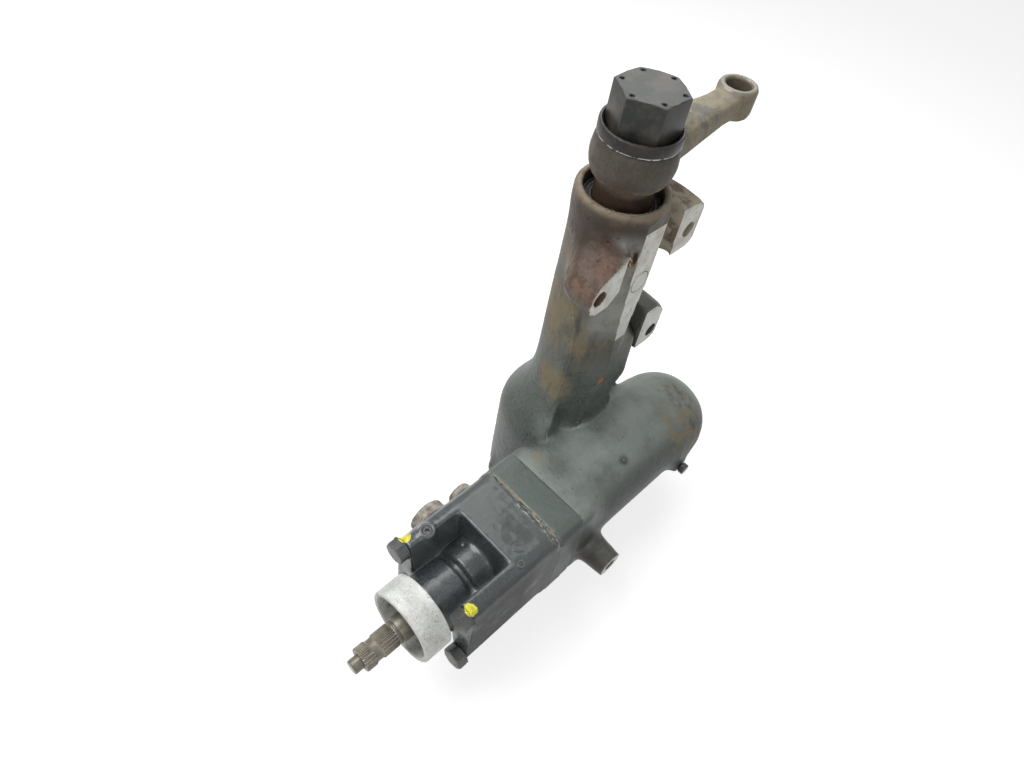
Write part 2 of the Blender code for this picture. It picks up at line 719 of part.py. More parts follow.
def cylinder_outer():
    """The cylinder with its swollen, domed end."""
    dome = CYLINDER_END - 106 * MM
    profile = [(14 * MM, CYLINDER_END)]
    for angle in (72, 56, 40, 24, 8):
        turn = math.radians(angle)
        swell = 14 * MM + (CYLINDER_SWELL - 14 * MM) * math.cos(turn) ** 0.8
        profile.append((swell, dome + 30 * MM + (CYLINDER_END - dome - 30 * MM) * math.sin(turn)))
    profile += [
        (CYLINDER_SWELL, dome + 28 * MM),
        (CYLINDER_SWELL - 1.5 * MM, dome + 12 * MM),
        (CYLINDER_RADIUS, dome - 4 * MM),
        (CYLINDER_RADIUS, FLANGE_FACE + 8 * MM),
    ]
    return turned("cylinder", profile, at=WORM_AXIS, axis="Y", sides=FINE)


def cylinder_bore():
    """The bore that the piston runs in."""
    profile = [
        (CYLINDER_BORE - 9 * MM, CYLINDER_BORE_END + 8 * MM),
        (CYLINDER_BORE, CYLINDER_BORE_END),
        (CYLINDER_BORE, FLANGE_FACE - 5 * MM),
    ]
    return turned("cylinder_bore", profile, at=WORM_AXIS, axis="Y", sides=FINE)


def flange_neck():
    """The square flange and the neck that fairs it into the cylinder."""
    steps = 3
    count = 4 * (steps + 1)
    square = rounded_rectangle((CENTRE_DISTANCE, 0), BLOCK_WIDTH, BLOCK_HEIGHT, BLOCK_CORNER, steps)
    slim = 3 * MM
    middle = (CENTRE_DISTANCE, 0)
    inner = rounded_rectangle(middle, BLOCK_WIDTH - slim, BLOCK_HEIGHT - slim, BLOCK_CORNER, steps)
    round_end = []
    for quarter in range(4):
        for step in range(steps + 1):
            angle = math.pi / 2 * quarter + math.pi / 2 * (step + 0.35) / (steps + 0.7)
            radius = CYLINDER_RADIUS - 2 * MM
            round_end.append((CENTRE_DISTANCE + radius * math.cos(angle), radius * math.sin(angle)))
    sections = (
        (square, FLANGE_FACE),
        (square, FLANGE_FACE + NECK_START),
        (inner, FLANGE_FACE + NECK_START + 2 * MM),
        (round_end, FLANGE_FACE + NECK_END),
    )
    return loft("flange_neck", [[(x, y, z) for x, z in ring_points[:count]] for ring_points, y in sections])


def lug(name, y, height, outline):
    """A mounting lug: its face drawn by offsets from its hole, its flanks, and its root inside the tube."""
    side = 1 if y > 0 else -1
    inner = min(abs(y) + u * MM for u, _ in outline)
    outer = max(abs(y) + u * MM for u, _ in outline)
    sections = []
    for x, spread, pull, swell in LUG_STATIONS:
        section = []
        for u, v in outline:
            across = abs(y) + u * MM
            share = (across - inner) / (outer - inner)
            buried = LUG_ROOT_INNER + (TUBE_RADIUS - 6 * MM - LUG_ROOT_INNER) * share
            reach = across + swell * MM * share
            place = reach + (buried - reach) * pull
            section.append((x * MM, side * place, height + v * MM * spread))
        sections.append(section)
    return loft(name, sections)


def rail():
    """The long machined rail on the tube's mounting side."""
    outline = [
        (-RAIL_TOP_HALF, RAIL_TOP),
        (-RAIL_TOP_HALF, RAIL_TOP - 60 * MM),
        (-RAIL_BOTTOM_HALF - 8 * MM, RAIL_BOTTOM + 60 * MM),
        (-RAIL_BOTTOM_HALF, RAIL_BOTTOM),
        (RAIL_BOTTOM_HALF, RAIL_BOTTOM),
        (RAIL_TOP_HALF - 2 * MM, RAIL_TOP - 80 * MM),
        (RAIL_TOP_HALF - 2 * MM, RAIL_TOP),
    ]
    return plate("rail", outline, 20 * MM, MOUNT_FACE, axis="X")


def drum_relief():
    """What the drum's top lacks on the cylinder's side: it leaves a ridge down each flank."""
    inner = arc((0, 0), TUBE_RADIUS + 1 * MM, RIDGE_NEAR, RIDGE_FAR, 12)
    outer = arc((0, 0), DRUM_RADIUS + 15 * MM, RIDGE_FAR, RIDGE_NEAR, 12)
    return plate("drum_relief", inner + outer, GEAR_CAVITY_TOP + 8 * MM, FLARE_TOP + 5 * MM)


def apron():
    """The web that carries the rail's side of the tube down onto the cylinder."""
    top = [(u * MM, v * MM) for u, v in APRON_OUTLINE]
    sections = []
    levels = ((0.88, APRON_TOP), (0.97, 150 * MM), (1.04, 100 * MM), (1.1, 70 * MM), (1.2, 42 * MM))
    for grow, height in levels:
        sections.append([(u * grow, v * (1 + (grow - 1) * 0.5), height) for u, v in top])
    return loft("apron", sections)


def main_housing(case):
    """The main casting: tube, drum, cylinder, flange, mounting lugs and bosses, bored out."""
    body = sector_column()
    cut(body, drum_relief())
    additions = [
        cylinder_outer(),
        flange_neck(),
        apron(),
        rail(),
        lug("near_lug", MOUNT_NEAR_Y, MOUNT_NEAR_HEIGHT, NEAR_LUG),
        lug("far_lug", MOUNT_FAR_Y, MOUNT_FAR_HEIGHT, FAR_LUG),
        lug("low_lug", MOUNT_LOW_Y, MOUNT_LOW_HEIGHT, LOW_LUG),
        rod("spot", SPOT_RADIUS, 30 * MM, MOUNT_FACE + SPOT_RISE, (0, 0, SPOT_HEIGHT), "X", SMALL),
        rod(
            "stub",
            STUB_ROOT_RADIUS,
            40 * MM,
            STUB_REACH,
            on_worm(STUB_STATION, 0, -STUB_DROP),
            "X",
            SMALL + 4,
            STUB_END_RADIUS,
        ),
        rod(
            "limiter_boss",
            LIMITER_BOSS_RADIUS,
            40 * MM,
            LIMITER_BOSS_REACH,
            on_worm(LIMITER_STATION, 0, -LIMITER_DROP),
            "X",
            SMALL,
        ),
    ]
    gallery = on_worm(0, GALLERY_SIDE, -GALLERY_DROP)
    additions.append(rod("gallery", GALLERY_RADIUS, FLANGE_FACE + 20 * MM, GALLERY_END, gallery, "Y", SMALL))
    for _, x, y in cover_bolt_places():
        top = DRUM_BOTTOM + COVER_BOLT_GRIP + 14 * MM
        additions.append(
            rod("lobe", COVER_LOBE_RADIUS, DRUM_BOTTOM, top, (x, y, 0), "Z", SMALL, COVER_LOBE_RADIUS * 0.6)
        )
    join(body, *additions)
    cutters = [sector_bore(), cylinder_bore()]
    for y, height in (
        (MOUNT_NEAR_Y, MOUNT_NEAR_HEIGHT),
        (MOUNT_FAR_Y, MOUNT_FAR_HEIGHT),
        (MOUNT_LOW_Y, MOUNT_LOW_HEIGHT),
    ):
        at = (0, y, height)
        cutters.append(rod("hole", MOUNT_HOLE_RADIUS, LUG_BACK, MOUNT_FACE + 5 * MM, at, "X", SMALL))
    for _, dx, dz in bolt_places():
        depth = FLANGE_FACE + BOLT_GRIP + 2 * MM
        hole = BOLT_RADIUS + HOLE_CLEARANCE
        cutters.append(rod("bolt_hole", hole, FLANGE_FACE - 5 * MM, depth, on_worm(0, dx, dz), "Y", SMALL))
    for _, x, y in cover_bolt_places():
        hole = COVER_BOLT_RADIUS + HOLE_CLEARANCE
        top = DRUM_BOTTOM + COVER_BOLT_GRIP + 2 * MM
        cutters.append(rod("cover_hole", hole, DRUM_BOTTOM - 5 * MM, top, (x, y, 0), "Z", SMALL))
    cutters.append(
        rod(
            "stub_bore",
            STUB_BORE_RADIUS,
            STUB_REACH - STUB_BORE_DEPTH,
            STUB_REACH + 5 * MM,
            on_worm(STUB_STATION, 0, -STUB_DROP),
            "X",
            SMALL,
        )
    )
    cutters.append(
        rod(
            "limiter_hole",
            5 * MM + CLEARANCE,
            LIMITER_BOSS_REACH - 10 * MM,
            LIMITER_BOSS_REACH + 5 * MM,
            on_worm(LIMITER_STATION, 0, -LIMITER_DROP),
            "X",
            SMALL,
        )
    )
    cutters.append(nipple_shape("nipple_hole", 3.3 * MM, TUBE_RADIUS - 8 * MM, TUBE_RADIUS + 12 * MM))
    cut(body, *cutters)
    finish(body, "grey_green_paint", case)


def nipple_shape(name, radius, low, high, profile=None):
    """A rod, or a turned profile, along the grease nipple's axis."""
    at = (0, 0, NIPPLE_HEIGHT)
    if profile:
        obj = turned(name, profile, at=at, axis="X", sides=SMALL - 4)
    else:
        obj = rod(name, radius, low, high, at, "X", SMALL - 4)
    obj.rotation_euler = (0, math.pi / 2, NIPPLE_ANGLE)
    return obj


def grease_nipple(case):
    """The nipple that greases the tube."""
    seat = TUBE_RADIUS + 0.5 * MM
    profile = [
        (1.6 * MM, seat + 11 * MM),
        (2.8 * MM, seat + 9 * MM),
        (1.9 * MM, seat + 6.5 * MM),
        (2.2 * MM, seat + 5 * MM),
        (4.6 * MM, seat + 5 * MM),
        (4.6 * MM, seat),
        (3 * MM, seat),
        (3 * MM, seat - 7 * MM),
    ]
    finish(nipple_shape("grease_nipple", 0, 0, 0, profile), "brass", case)


def limiter_screw(case):
    """The steering limiter's screw in the cylinder's side."""
    at = on_worm(LIMITER_STATION, 0, -LIMITER_DROP)
    base = LIMITER_BOSS_REACH + CLEARANCE
    screw = hex_head("limiter_screw", LIMITER_AF, base, base + LIMITER_REACH, at, "X")
    join(screw, rod("shank", 5 * MM, LIMITER_BOSS_REACH - 9 * MM, base + 1 * MM, at, "X", SMALL))
    finish(screw, "black_oxide", case)


def bearing_block(case):
    """The square block that carries the worm's bearing, with its spigot in the cylinder."""
    outline = rounded_rectangle((CENTRE_DISTANCE, 0), BLOCK_WIDTH, BLOCK_HEIGHT, BLOCK_CORNER)
    start = FLANGE_FACE - CLEARANCE
    body = plate("bearing_block", outline, BLOCK_FACE, start, axis="Y")
    spigot = CYLINDER_BORE - CLEARANCE
    groove = spigot - 3 * MM
    middle = FLANGE_FACE + SPIGOT_LENGTH / 2
    profile = [
        (spigot, FLANGE_FACE + SPIGOT_LENGTH),
        (spigot, middle + 1.6 * MM),
        (groove, middle + 1.6 * MM),
        (groove, middle - 1.6 * MM),
        (spigot, middle - 1.6 * MM),
        (spigot, start - 2 * MM),
    ]
    join(body, turned("spigot", profile, at=WORM_AXIS, axis="Y", sides=FINE))
    lobe = on_worm(0, BLOCK_LOBE_SIDE, -BLOCK_LOBE_DROP)
    join(body, rod("lobe", BLOCK_LOBE_RADIUS, BLOCK_FACE + 3 * MM, start - 4 * MM, lobe, "Y", SMALL))
    seat = WORM_BEARING_RADIUS + CLEARANCE
    bore = [
        (BLOCK_PASSAGE, FLANGE_FACE + SPIGOT_LENGTH + 5 * MM),
        (BLOCK_PASSAGE, WORM_BEARING_FACE),
        (seat, WORM_BEARING_FACE),
        (seat, BLOCK_FACE - 5 * MM),
    ]
    cutters = [turned("bore", bore, at=WORM_AXIS, axis="Y", sides=FINE)]
    for _, dx, dz in bolt_places():
        hole = BOLT_RADIUS + HOLE_CLEARANCE
        cutters.append(rod("hole", hole, BLOCK_FACE - 5 * MM, start + 5 * MM, on_worm(0, dx, dz), "Y", SMALL))
    cut(body, *cutters)
    finish(body, "grey_green_paint", case)
    section = 1.3 * MM
    ring_radius = CYLINDER_BORE - CLEARANCE / 2 - section
    profile = [
        (ring_radius + section, middle + 0.6 * section),
        (ring_radius + section, middle - 0.6 * section),
        (ring_radius, middle - section),
    ]
    back = [(ring_radius - section, middle), (ring_radius, middle + section)]
    seal = turned("block_seal_ring", profile, back, WORM_AXIS, "Y", FINE)
    finish(seal, "rubber", case)


def valve_outline():
    """The valve housing's outline behind its flange."""
    width = BLOCK_WIDTH - 2 * VALVE_BODY_INSET
    height = BLOCK_HEIGHT - 2 * VALVE_BODY_INSET
    return rounded_rectangle((CENTRE_DISTANCE, 0), width, height, BLOCK_CORNER)


def pocket(up):
    """The deep pocket between the bolt columns, over (up = 1) or under (up = -1) the barrel."""
    back = VALVE_START - VALVE_BACK_LENGTH
    x0 = CENTRE_DISTANCE - POCKET_HALF_WIDTH
    x1 = CENTRE_DISTANCE + POCKET_HALF_WIDTH
    top = up * (BLOCK_HEIGHT / 2 + 5 * MM)
    floor = up * POCKET_FLOOR
    sections = []
    for z, side, rear in ((top, 0, 0), (floor, POCKET_SIDE_SLOPE, POCKET_BACK_SLOPE)):
        sections.append(
            [
                (x0 + side, VALVE_FRONT - 5 * MM, z),
                (x1 - side, VALVE_FRONT - 5 * MM, z),
                (x1 - side, back - rear, z),
                (x0 + side, back - rear, z),
            ]
        )
    return loft("pocket", sections)


def port_places():
    """Station, drop, boss radius and reach, bore radius and depth of the two ports."""
    return (
        (PORT_STATION, PORT_DROP, PORT_BOSS_RADIUS, PORT_BOSS_REACH, PORT_BORE_RADIUS, PORT_DEPTH),
        (
            RETURN_PORT_STATION,
            RETURN_PORT_DROP,
            RETURN_BOSS_RADIUS,
            RETURN_BOSS_REACH,
            RETURN_BORE_RADIUS,
            RETURN_DEPTH,
        ),
    )


def valve_housing(case):
    """The black casting round the rotary valve."""
    flange_end = VALVE_START - VALVE_FLANGE_LENGTH
    flange = rounded_rectangle((CENTRE_DISTANCE, 0), BLOCK_WIDTH, BLOCK_HEIGHT, BLOCK_CORNER)
    body = plate("valve_housing", flange, flange_end, VALVE_START, axis="Y")
    join(body, plate("shell", valve_outline(), VALVE_FRONT, flange_end + 2 * MM, axis="Y"))
    cut(body, pocket(1), pocket(-1))
    top = BLOCK_HEIGHT / 2 - VALVE_BODY_INSET
    back = VALVE_START - VALVE_BACK_LENGTH
    groove = back - BARREL_BACK_LENGTH
    barrel = [
        (BARREL_BACK_RADIUS, back + 8 * MM),
        (BARREL_BACK_RADIUS, groove + 1 * MM),
        (BARREL_GROOVE_RADIUS, groove),
        (BARREL_GROOVE_RADIUS, groove - BARREL_GROOVE_WIDTH),
        (BARREL_RADIUS, groove - BARREL_GROOVE_WIDTH - 1 * MM),
        (BARREL_RADIUS, VALVE_FRONT + 1.5 * MM),
    ]
    additions = [
        turned("barrel", barrel, at=WORM_AXIS, axis="Y", sides=MEDIUM + 4),
        rod("nose", NOSE_RADIUS, NOSE_END, VALVE_FRONT + 6 * MM, WORM_AXIS, "Y", FINE),
        rod("plug_boss", 9.5 * MM, 20 * MM, top + 2 * MM, relief_place(), "Z", SMALL),
    ]
    for station, drop, radius, reach, _, _ in port_places():
        at = Vector((CENTRE_DISTANCE - BLOCK_WIDTH / 2, station, top + VALVE_BODY_INSET - 14 * MM - drop))
        additions.append(rod("boss", radius, -reach, 16 * MM, at, "X", MEDIUM - 4))
    join(body, *additions)
    sleeve_bore = running_bore(SLEEVE_RADIUS)
    shaft = INPUT_SHAFT_RADIUS + CLEARANCE
    bearing = shaft + INPUT_BEARING_WALL + CLEARANCE
    seal = shaft + INPUT_SEAL_WALL + CLEARANCE
    bore = [
        (sleeve_bore, VALVE_START + 5 * MM),
        (sleeve_bore, SLEEVE_BORE_END),
        (bearing, SLEEVE_BORE_END),
        (bearing, INPUT_BEARING_END - CLEARANCE),
        (shaft + 1.5 * MM, INPUT_BEARING_END - CLEARANCE),
        (shaft + 1.5 * MM, INPUT_SEAL_START),
        (seal, INPUT_SEAL_START),
        (seal, NOSE_END - 5 * MM),
    ]
    cutters = [turned("bore", bore, at=WORM_AXIS, axis="Y", sides=MEDIUM)]
    for _, dx, dz in bolt_places():
        hole = BOLT_RADIUS + HOLE_CLEARANCE
        cutters.append(
            rod("hole", hole, VALVE_FRONT - 5 * MM, VALVE_START + 5 * MM, on_worm(0, dx, dz), "Y", SMALL)
        )
    for station, drop, _, reach, radius, depth in port_places():
        at = Vector((CENTRE_DISTANCE - BLOCK_WIDTH / 2, station, top + VALVE_BODY_INSET - 14 * MM - drop))
        cutters.append(rod("port", radius, -reach - 5 * MM, depth - reach, at, "X", SMALL))
    wide = 5 * MM + CLEARANCE
    cutters.append(rod("relief_hole", wide, top - 5 * MM, top + 9 * MM, relief_place(), "Z", SMALL))
    cutters.append(rod("screw_hole", wide, top - 5 * MM, top + 9 * MM, screw_place(), "Z", SMALL))
    low = ball_level() - 4 * MM
    high = ball_level() + 12 * MM
    cutters.append(rod("ball_hole", 3 * MM + CLEARANCE, low, high, ball_place(), "Z", SMALL))
    cut(body, *cutters)
    finish(body, "black_paint", case)


def relief_place():
    """The relief valve's plug, seen from above."""
    return Vector((CENTRE_DISTANCE - POCKET_HALF_WIDTH - 2 * MM, -262 * MM, 0))


def screw_place():
    """The gallery screw in the housing's back corner."""
    return Vector((CENTRE_DISTANCE + BLOCK_WIDTH / 2 - 13 * MM, -212 * MM, 0))


def ball_place():
    """The ball that closes the drilling in the barrel."""
    return Vector((CENTRE_DISTANCE - BALL_PLUG_OFFSET, -232 * MM, 0))


def ball_level():
    """The barrel's surface at the ball."""
    return math.sqrt(BARREL_BACK_RADIUS**2 - BALL_PLUG_OFFSET**2) - 1 * MM


def valve_plugs(case):
    """The relief plug, the gallery screw and the gallery ball."""
    top = BLOCK_HEIGHT / 2 - VALVE_BODY_INSET
    for name, at, level in (
        ("relief_plug", relief_place(), top + 0.5 * MM),
        ("screw_plug", screw_place(), top - 1 * MM),
    ):
        plug = rod(name, 5 * MM, top - 4.7 * MM, level, at, "Z", SMALL)
        cut(plug, plate("socket", hexagon(5 * MM), level - 3 * MM, level + 2 * MM, at, "Z"))
        finish(plug, "black_oxide", case)
    seat = ball_level() - 3.7 * MM
    profile = [
        (1.2 * MM, seat + 5.2 * MM),
        (2.6 * MM, seat + 4 * MM),
        (3 * MM, seat + 2.4 * MM),
        (3 * MM, seat),
    ]
    finish(turned("ball_plug", profile, at=ball_place(), sides=SMALL), "bright_steel", case)


def flange_bolts(case):
    """The four long bolts that clamp valve housing and block to the main casting."""
    seat = VALVE_FRONT - CLEARANCE
    for number, dx, dz in bolt_places():
        at = on_worm(0, dx, dz)
        turn = math.radians(17 * number)
        top = seat - BOLT_FLANGE_HEIGHT
        name = f"flange_bolt_{number}"
        head = hex_head(name, BOLT_HEAD_AF, top - BOLT_HEAD_HEIGHT, top, at, "Y", turn, False)
        shank = [
            (BOLT_RADIUS - 1 * MM, FLANGE_FACE + BOLT_GRIP),
            (BOLT_RADIUS, FLANGE_FACE + BOLT_GRIP - 1 * MM),
            (BOLT_RADIUS, seat),
            (BOLT_FLANGE_RADIUS, seat),
            (BOLT_FLANGE_RADIUS, top + 0.6 * MM),
            (BOLT_HEAD_AF / 2, top - 1 * MM),
        ]
        join(head, turned("shank", shank, at=at, axis="Y", sides=SMALL))
        finish(head, "black_oxide", case)


def sector_cover(case):
    """The cover under the sector, with the boss for the lower bearing and the adjuster's thread."""
    seat = TRUNNION_RADIUS + CLEARANCE + BEARING_WALL + CLEARANCE
    spigot = GEAR_CAVITY_RADIUS - CLEARANCE
    groove = spigot - 3 * MM
    boss = seat + 8 * MM
    middle = COVER_FACE + COVER_SPIGOT / 2
    boss_top = -GEAR_HALF_FACE - 6 * MM
    pocket_top = COVER_FLOOR_TOP - COVER_FLOOR_THICKNESS
    thread = ADJUSTER_RADIUS + CLEARANCE
    outer = [
        (seat + 2 * MM, boss_top),
        (boss, boss_top - 2 * MM),
        (boss + 2 * MM, COVER_FACE + COVER_SPIGOT + 3 * MM),
        (boss + 6 * MM, COVER_FACE + COVER_SPIGOT),
        (spigot, COVER_FACE + COVER_SPIGOT),
        (spigot, middle + 1.6 * MM),
        (groove, middle + 1.6 * MM),
        (groove, middle - 1.6 * MM),
        (spigot, middle - 1.6 * MM),
        (spigot, COVER_FACE),
        (DRUM_RADIUS, COVER_FACE),
        (DRUM_RADIUS, COVER_BOTTOM + 3 * MM),
        (DRUM_RADIUS - 4 * MM, COVER_BOTTOM),
    ]
    bore = [
        (COVER_POCKET_RADIUS + 2 * MM, COVER_BOTTOM),
        (COVER_POCKET_RADIUS, COVER_BOTTOM + 2 * MM),
        (COVER_POCKET_RADIUS, pocket_top),
        (thread, pocket_top),
        (thread, COVER_FLOOR_TOP),
        (seat, COVER_FLOOR_TOP),
        (seat, boss_top),
    ]
    body = turned("sector_cover", outer, bore, sides=FINE)
    lobes = []
    for _, x, y in cover_bolt_places():
        lobes.append(rod("lobe", COVER_LOBE_RADIUS, COVER_BOTTOM, COVER_FACE, (x, y, 0), "Z", SMALL))
    join(body, *lobes)
    holes = []
    for _, x, y in cover_bolt_places():
        hole = COVER_BOLT_RADIUS + HOLE_CLEARANCE
        holes.append(rod("hole", hole, COVER_BOTTOM - 5 * MM, COVER_FACE + 5 * MM, (x, y, 0), "Z", SMALL))
    cut(body, *holes)
    finish(body, "grey_green_paint", case)
    section = 1.3 * MM
    radius = GEAR_CAVITY_RADIUS - CLEARANCE / 2 - section
    profile = [
        (radius + section, middle + 0.6 * section),
        (radius + section, middle - 0.6 * section),
        (radius, middle - section),
    ]
    back = [(radius - section, middle), (radius, middle + section)]
    finish(turned("cover_seal_ring", profile, back, sides=FINE), "rubber", case)


def cover_bolts(case):
    """The bolts that hold the cover."""
    seat = COVER_BOTTOM - CLEARANCE
    for number, x, y in cover_bolt_places():
        at = (x, y, 0)
        name = f"cover_bolt_{number}"
        head = hex_head(name, COVER_BOLT_AF, seat - COVER_BOLT_HEAD, seat, at, "Z", 0.3, False)
        end = DRUM_BOTTOM + COVER_BOLT_GRIP
        join(head, rod("shank", COVER_BOLT_RADIUS, seat - 1 * MM, end, at, "Z", SMALL - 4))
        finish(head, "black_oxide", case)


def adjuster(case, sector):
    """The adjusting screw, its lock nut, and the ring that keeps its head in the sector shaft."""
    pocket_top = COVER_FLOOR_TOP - COVER_FLOOR_THICKNESS
    nut_top = pocket_top - CLEARANCE
    nut = plate("adjuster_lock_nut", hexagon(ADJUSTER_NUT_AF), nut_top - ADJUSTER_NUT_HEIGHT, nut_top)
    cut(nut, rod("thread", ADJUSTER_RADIUS + CLEARANCE, nut_top - 15 * MM, nut_top + 5 * MM, sides=SMALL))
    finish(nut, "bright_steel", case)
    head_low = TRUNNION_END + 11 * MM
    tail = nut_top - ADJUSTER_NUT_HEIGHT - ADJUSTER_TAIL
    profile = [
        (ADJUSTER_HEAD_RADIUS - 1 * MM, head_low + ADJUSTER_HEAD_HEIGHT),
        (ADJUSTER_HEAD_RADIUS, head_low + ADJUSTER_HEAD_HEIGHT - 1 * MM),
        (ADJUSTER_HEAD_RADIUS, head_low),
        (ADJUSTER_RADIUS, head_low),
        (ADJUSTER_RADIUS, tail + 1 * MM),
        (ADJUSTER_RADIUS - 1 * MM, tail),
    ]
    screw = turned("adjusting_screw", profile, sides=SMALL)
    cut(screw, plate("socket", hexagon(8 * MM), tail - 2 * MM, tail + 6 * MM))
    finish(screw, "bright_steel", case)
    inner = ADJUSTER_RADIUS + CLEARANCE
    outer = ADJUSTER_HEAD_RADIUS + CLEARANCE
    high = head_low - CLEARANCE
    keeper = ring("adjuster_retainer", outer, inner, high - 4 * MM, high, sides=SMALL)
    finish(keeper, "bright_steel", sector)


def sector_bearings(case):
    """The needle bearings, the oil seal and the dust seal round the sector shaft."""
    inner = running_bore(SHAFT_RADIUS)
    outer = SHAFT_RADIUS + CLEARANCE + BEARING_WALL
    lower = running_bore(TRUNNION_RADIUS)
    lower_outer = TRUNNION_RADIUS + CLEARANCE + BEARING_WALL
    cover_base = COVER_FLOOR_TOP + CLEARANCE
    for name, out, into, low, length in (
        ("gear_side_bearing", outer, inner, GEAR_BEARING_BASE, GEAR_BEARING_LENGTH),
        ("arm_side_bearing", outer, inner, ARM_BEARING_BASE + CLEARANCE, ARM_BEARING_LENGTH - CLEARANCE),
        ("cover_bearing", lower_outer, lower, cover_base, COVER_BEARING_LENGTH),
    ):
        piece = needle_bearing(name, out, into, low, low + length)
        finish(piece, "bright_steel", case)
    seal_low = SEAL_FLOOR + CLEARANCE
    seal = lip_seal("sector_seal", SEAL_SEAT - CLEARANCE, inner, seal_low, SEAL_LENGTH, (0, 0, 0), "Z")
    finish(seal, "rubber", case)
    dust_low = MOUTH_FLOOR + CLEARANCE
    dust = ring("dust_seal", MOUTH_BORE_RADIUS - CLEARANCE, inner, dust_low, dust_low + DUST_SEAL_LENGTH)
    finish(dust, "rubber", case)


def needle_bearing(name, outer, inner, low, high):
    """A drawn-cup needle bearing: a cup with rims turned in over its cage."""
    rim = 1.2 * MM
    wall = 1.4 * MM
    edge = 0.6 * MM
    profile = [(outer - edge, high), (outer, high - edge), (outer, low + edge), (outer - edge, low)]
    bore = [
        (inner + wall, low),
        (inner + wall, low + rim),
        (inner, low + rim),
        (inner, high - rim),
        (inner + wall, high - rim),
        (inner + wall, high),
    ]
    return turned(name, profile, bore, sides=MEDIUM)


def lip_seal(name, outer, inner, low, length, at, axis):
    """A shaft seal: a cased ring with its lip on the shaft."""
    high = low + length
    lip = inner + 2.4 * MM
    profile = [(outer, high), (outer, low)]
    bore = [
        (outer - 2 * MM, low),
        (outer - 2 * MM, high - 3.2 * MM),
        (lip, high - 3.2 * MM),
        (lip, low + 1 * MM),
        (inner, low + length / 2),
        (inner, high),
    ]
    return turned(name, profile, bore, at, axis, MEDIUM)


def sector_shaft(sector):
    """The output shaft: lower trunnion, toothed sector, long shaft, serrated taper and thread."""
    taper_low = HUB_BORE_LARGE - CLEARANCE - SERRATION_DEPTH
    taper_high = HUB_BORE_SMALL - CLEARANCE - SERRATION_DEPTH
    thread = NUT_THREAD_RADIUS - CLEARANCE
    thread_end = NUT_TOP - NUT_CROWN - 2 * MM
    profile = [
        (thread - 1.5 * MM, thread_end),
        (thread, thread_end - 1.5 * MM),
        (thread, HUB_TOP - 1 * MM),
        (taper_high, HUB_TOP - 1 * MM),
        (taper_low, HUB_BOTTOM),
        (SHAFT_RADIUS - 1 * MM, HUB_BOTTOM - CLEARANCE),
        (SHAFT_RADIUS, HUB_BOTTOM - 1.3 * MM),
        (SHAFT_RADIUS, -GEAR_HALF_FACE + 1 * MM),
        (TRUNNION_RADIUS, -GEAR_HALF_FACE + 1 * MM),
        (TRUNNION_RADIUS, TRUNNION_END + 1 * MM),
        (TRUNNION_RADIUS - 1 * MM, TRUNNION_END),
    ]
    body = turned("sector_shaft", profile, sides=MEDIUM)
    join(body, plate("teeth", sector_outline(), -GEAR_HALF_FACE, GEAR_HALF_FACE))
    serration = serrated_cone(
        "serration",
        HUB_BORE_LARGE - CLEARANCE,
        HUB_BORE_SMALL - CLEARANCE,
        HUB_BOTTOM + CLEARANCE,
        HUB_TOP - 2 * MM,
        SERRATIONS,
        SERRATION_DEPTH,
    )
    join(body, serration)
    socket = ADJUSTER_HEAD_RADIUS + 2 * CLEARANCE
    socket_top = TRUNNION_END + 11 * MM + ADJUSTER_HEAD_HEIGHT + 0.5 * MM
    cut(body, rod("adjuster_socket", socket, TRUNNION_END - 5 * MM, socket_top, sides=SMALL))
    finish(body, "bright_steel", sector)


def serrated_cone(name, low_radius, high_radius, low, high, teeth, depth, at=(0, 0, 0), axis="Z"):
    """A serrated stretch of shaft, tapering where its two radii differ."""
    turn = {"Z": lambda x, y, z: (x, y, z), "Y": lambda x, y, z: (x, z, -y)}[axis]
    sections = []
    for radius, station in ((low_radius, low), (high_radius, high)):
        section = []
        for i in range(2 * teeth):
            angle = math.pi * i / teeth
            reach = radius if i % 2 == 0 else radius - depth
            x, y, z = turn(reach * math.cos(angle), reach * math.sin(angle), station)
            section.append((at[0] + x, at[1] + y, at[2] + z))
        sections.append(section)
    return loft(name, sections)


def arm_sections():
    """Sections of the pitman arm from inside its hub to inside its eye."""
    direction = Vector((math.cos(ARM_ANGLE), math.sin(ARM_ANGLE), 0))
    side = Vector((-direction.y, direction.x, 0))
    hub_middle = HUB_BOTTOM + HUB_HEIGHT * 0.5
    eye_middle = EYE_TOP - EYE_HEIGHT / 2
    stations = (
        (20 * MM, ARM_ROOT_WIDTH + 8 * MM, ARM_ROOT_DEPTH, 0.0),
        (48 * MM, ARM_ROOT_WIDTH, ARM_ROOT_DEPTH - 1 * MM, 0.25),
        (90 * MM, (ARM_ROOT_WIDTH + ARM_NECK_WIDTH) / 2, (ARM_ROOT_DEPTH + ARM_NECK_DEPTH) / 2, 0.55),
        (ARM_LENGTH - 38 * MM, ARM_NECK_WIDTH, ARM_NECK_DEPTH, 0.9),
        (ARM_LENGTH - 8 * MM, ARM_NECK_WIDTH, ARM_NECK_DEPTH, 1.0),
    )
    sections = []
    for reach, width, depth, share in stations:
        middle = hub_middle + (eye_middle - hub_middle) * share
        section = []
        for i in range(12):
            angle = 2 * math.pi * (i + 0.5) / 12
            across = width / 2 * math.copysign(abs(math.cos(angle)) ** 0.6, math.cos(angle))
            up = depth / 2 * math.copysign(abs(math.sin(angle)) ** 0.6, math.sin(angle))
            section.append(direction * reach + side * across + Vector((0, 0, middle + up)))
        sections.append(section)
    return sections


def eye_place():
    """The eye's axis."""
    return Vector((ARM_LENGTH * math.cos(ARM_ANGLE), ARM_LENGTH * math.sin(ARM_ANGLE), 0))


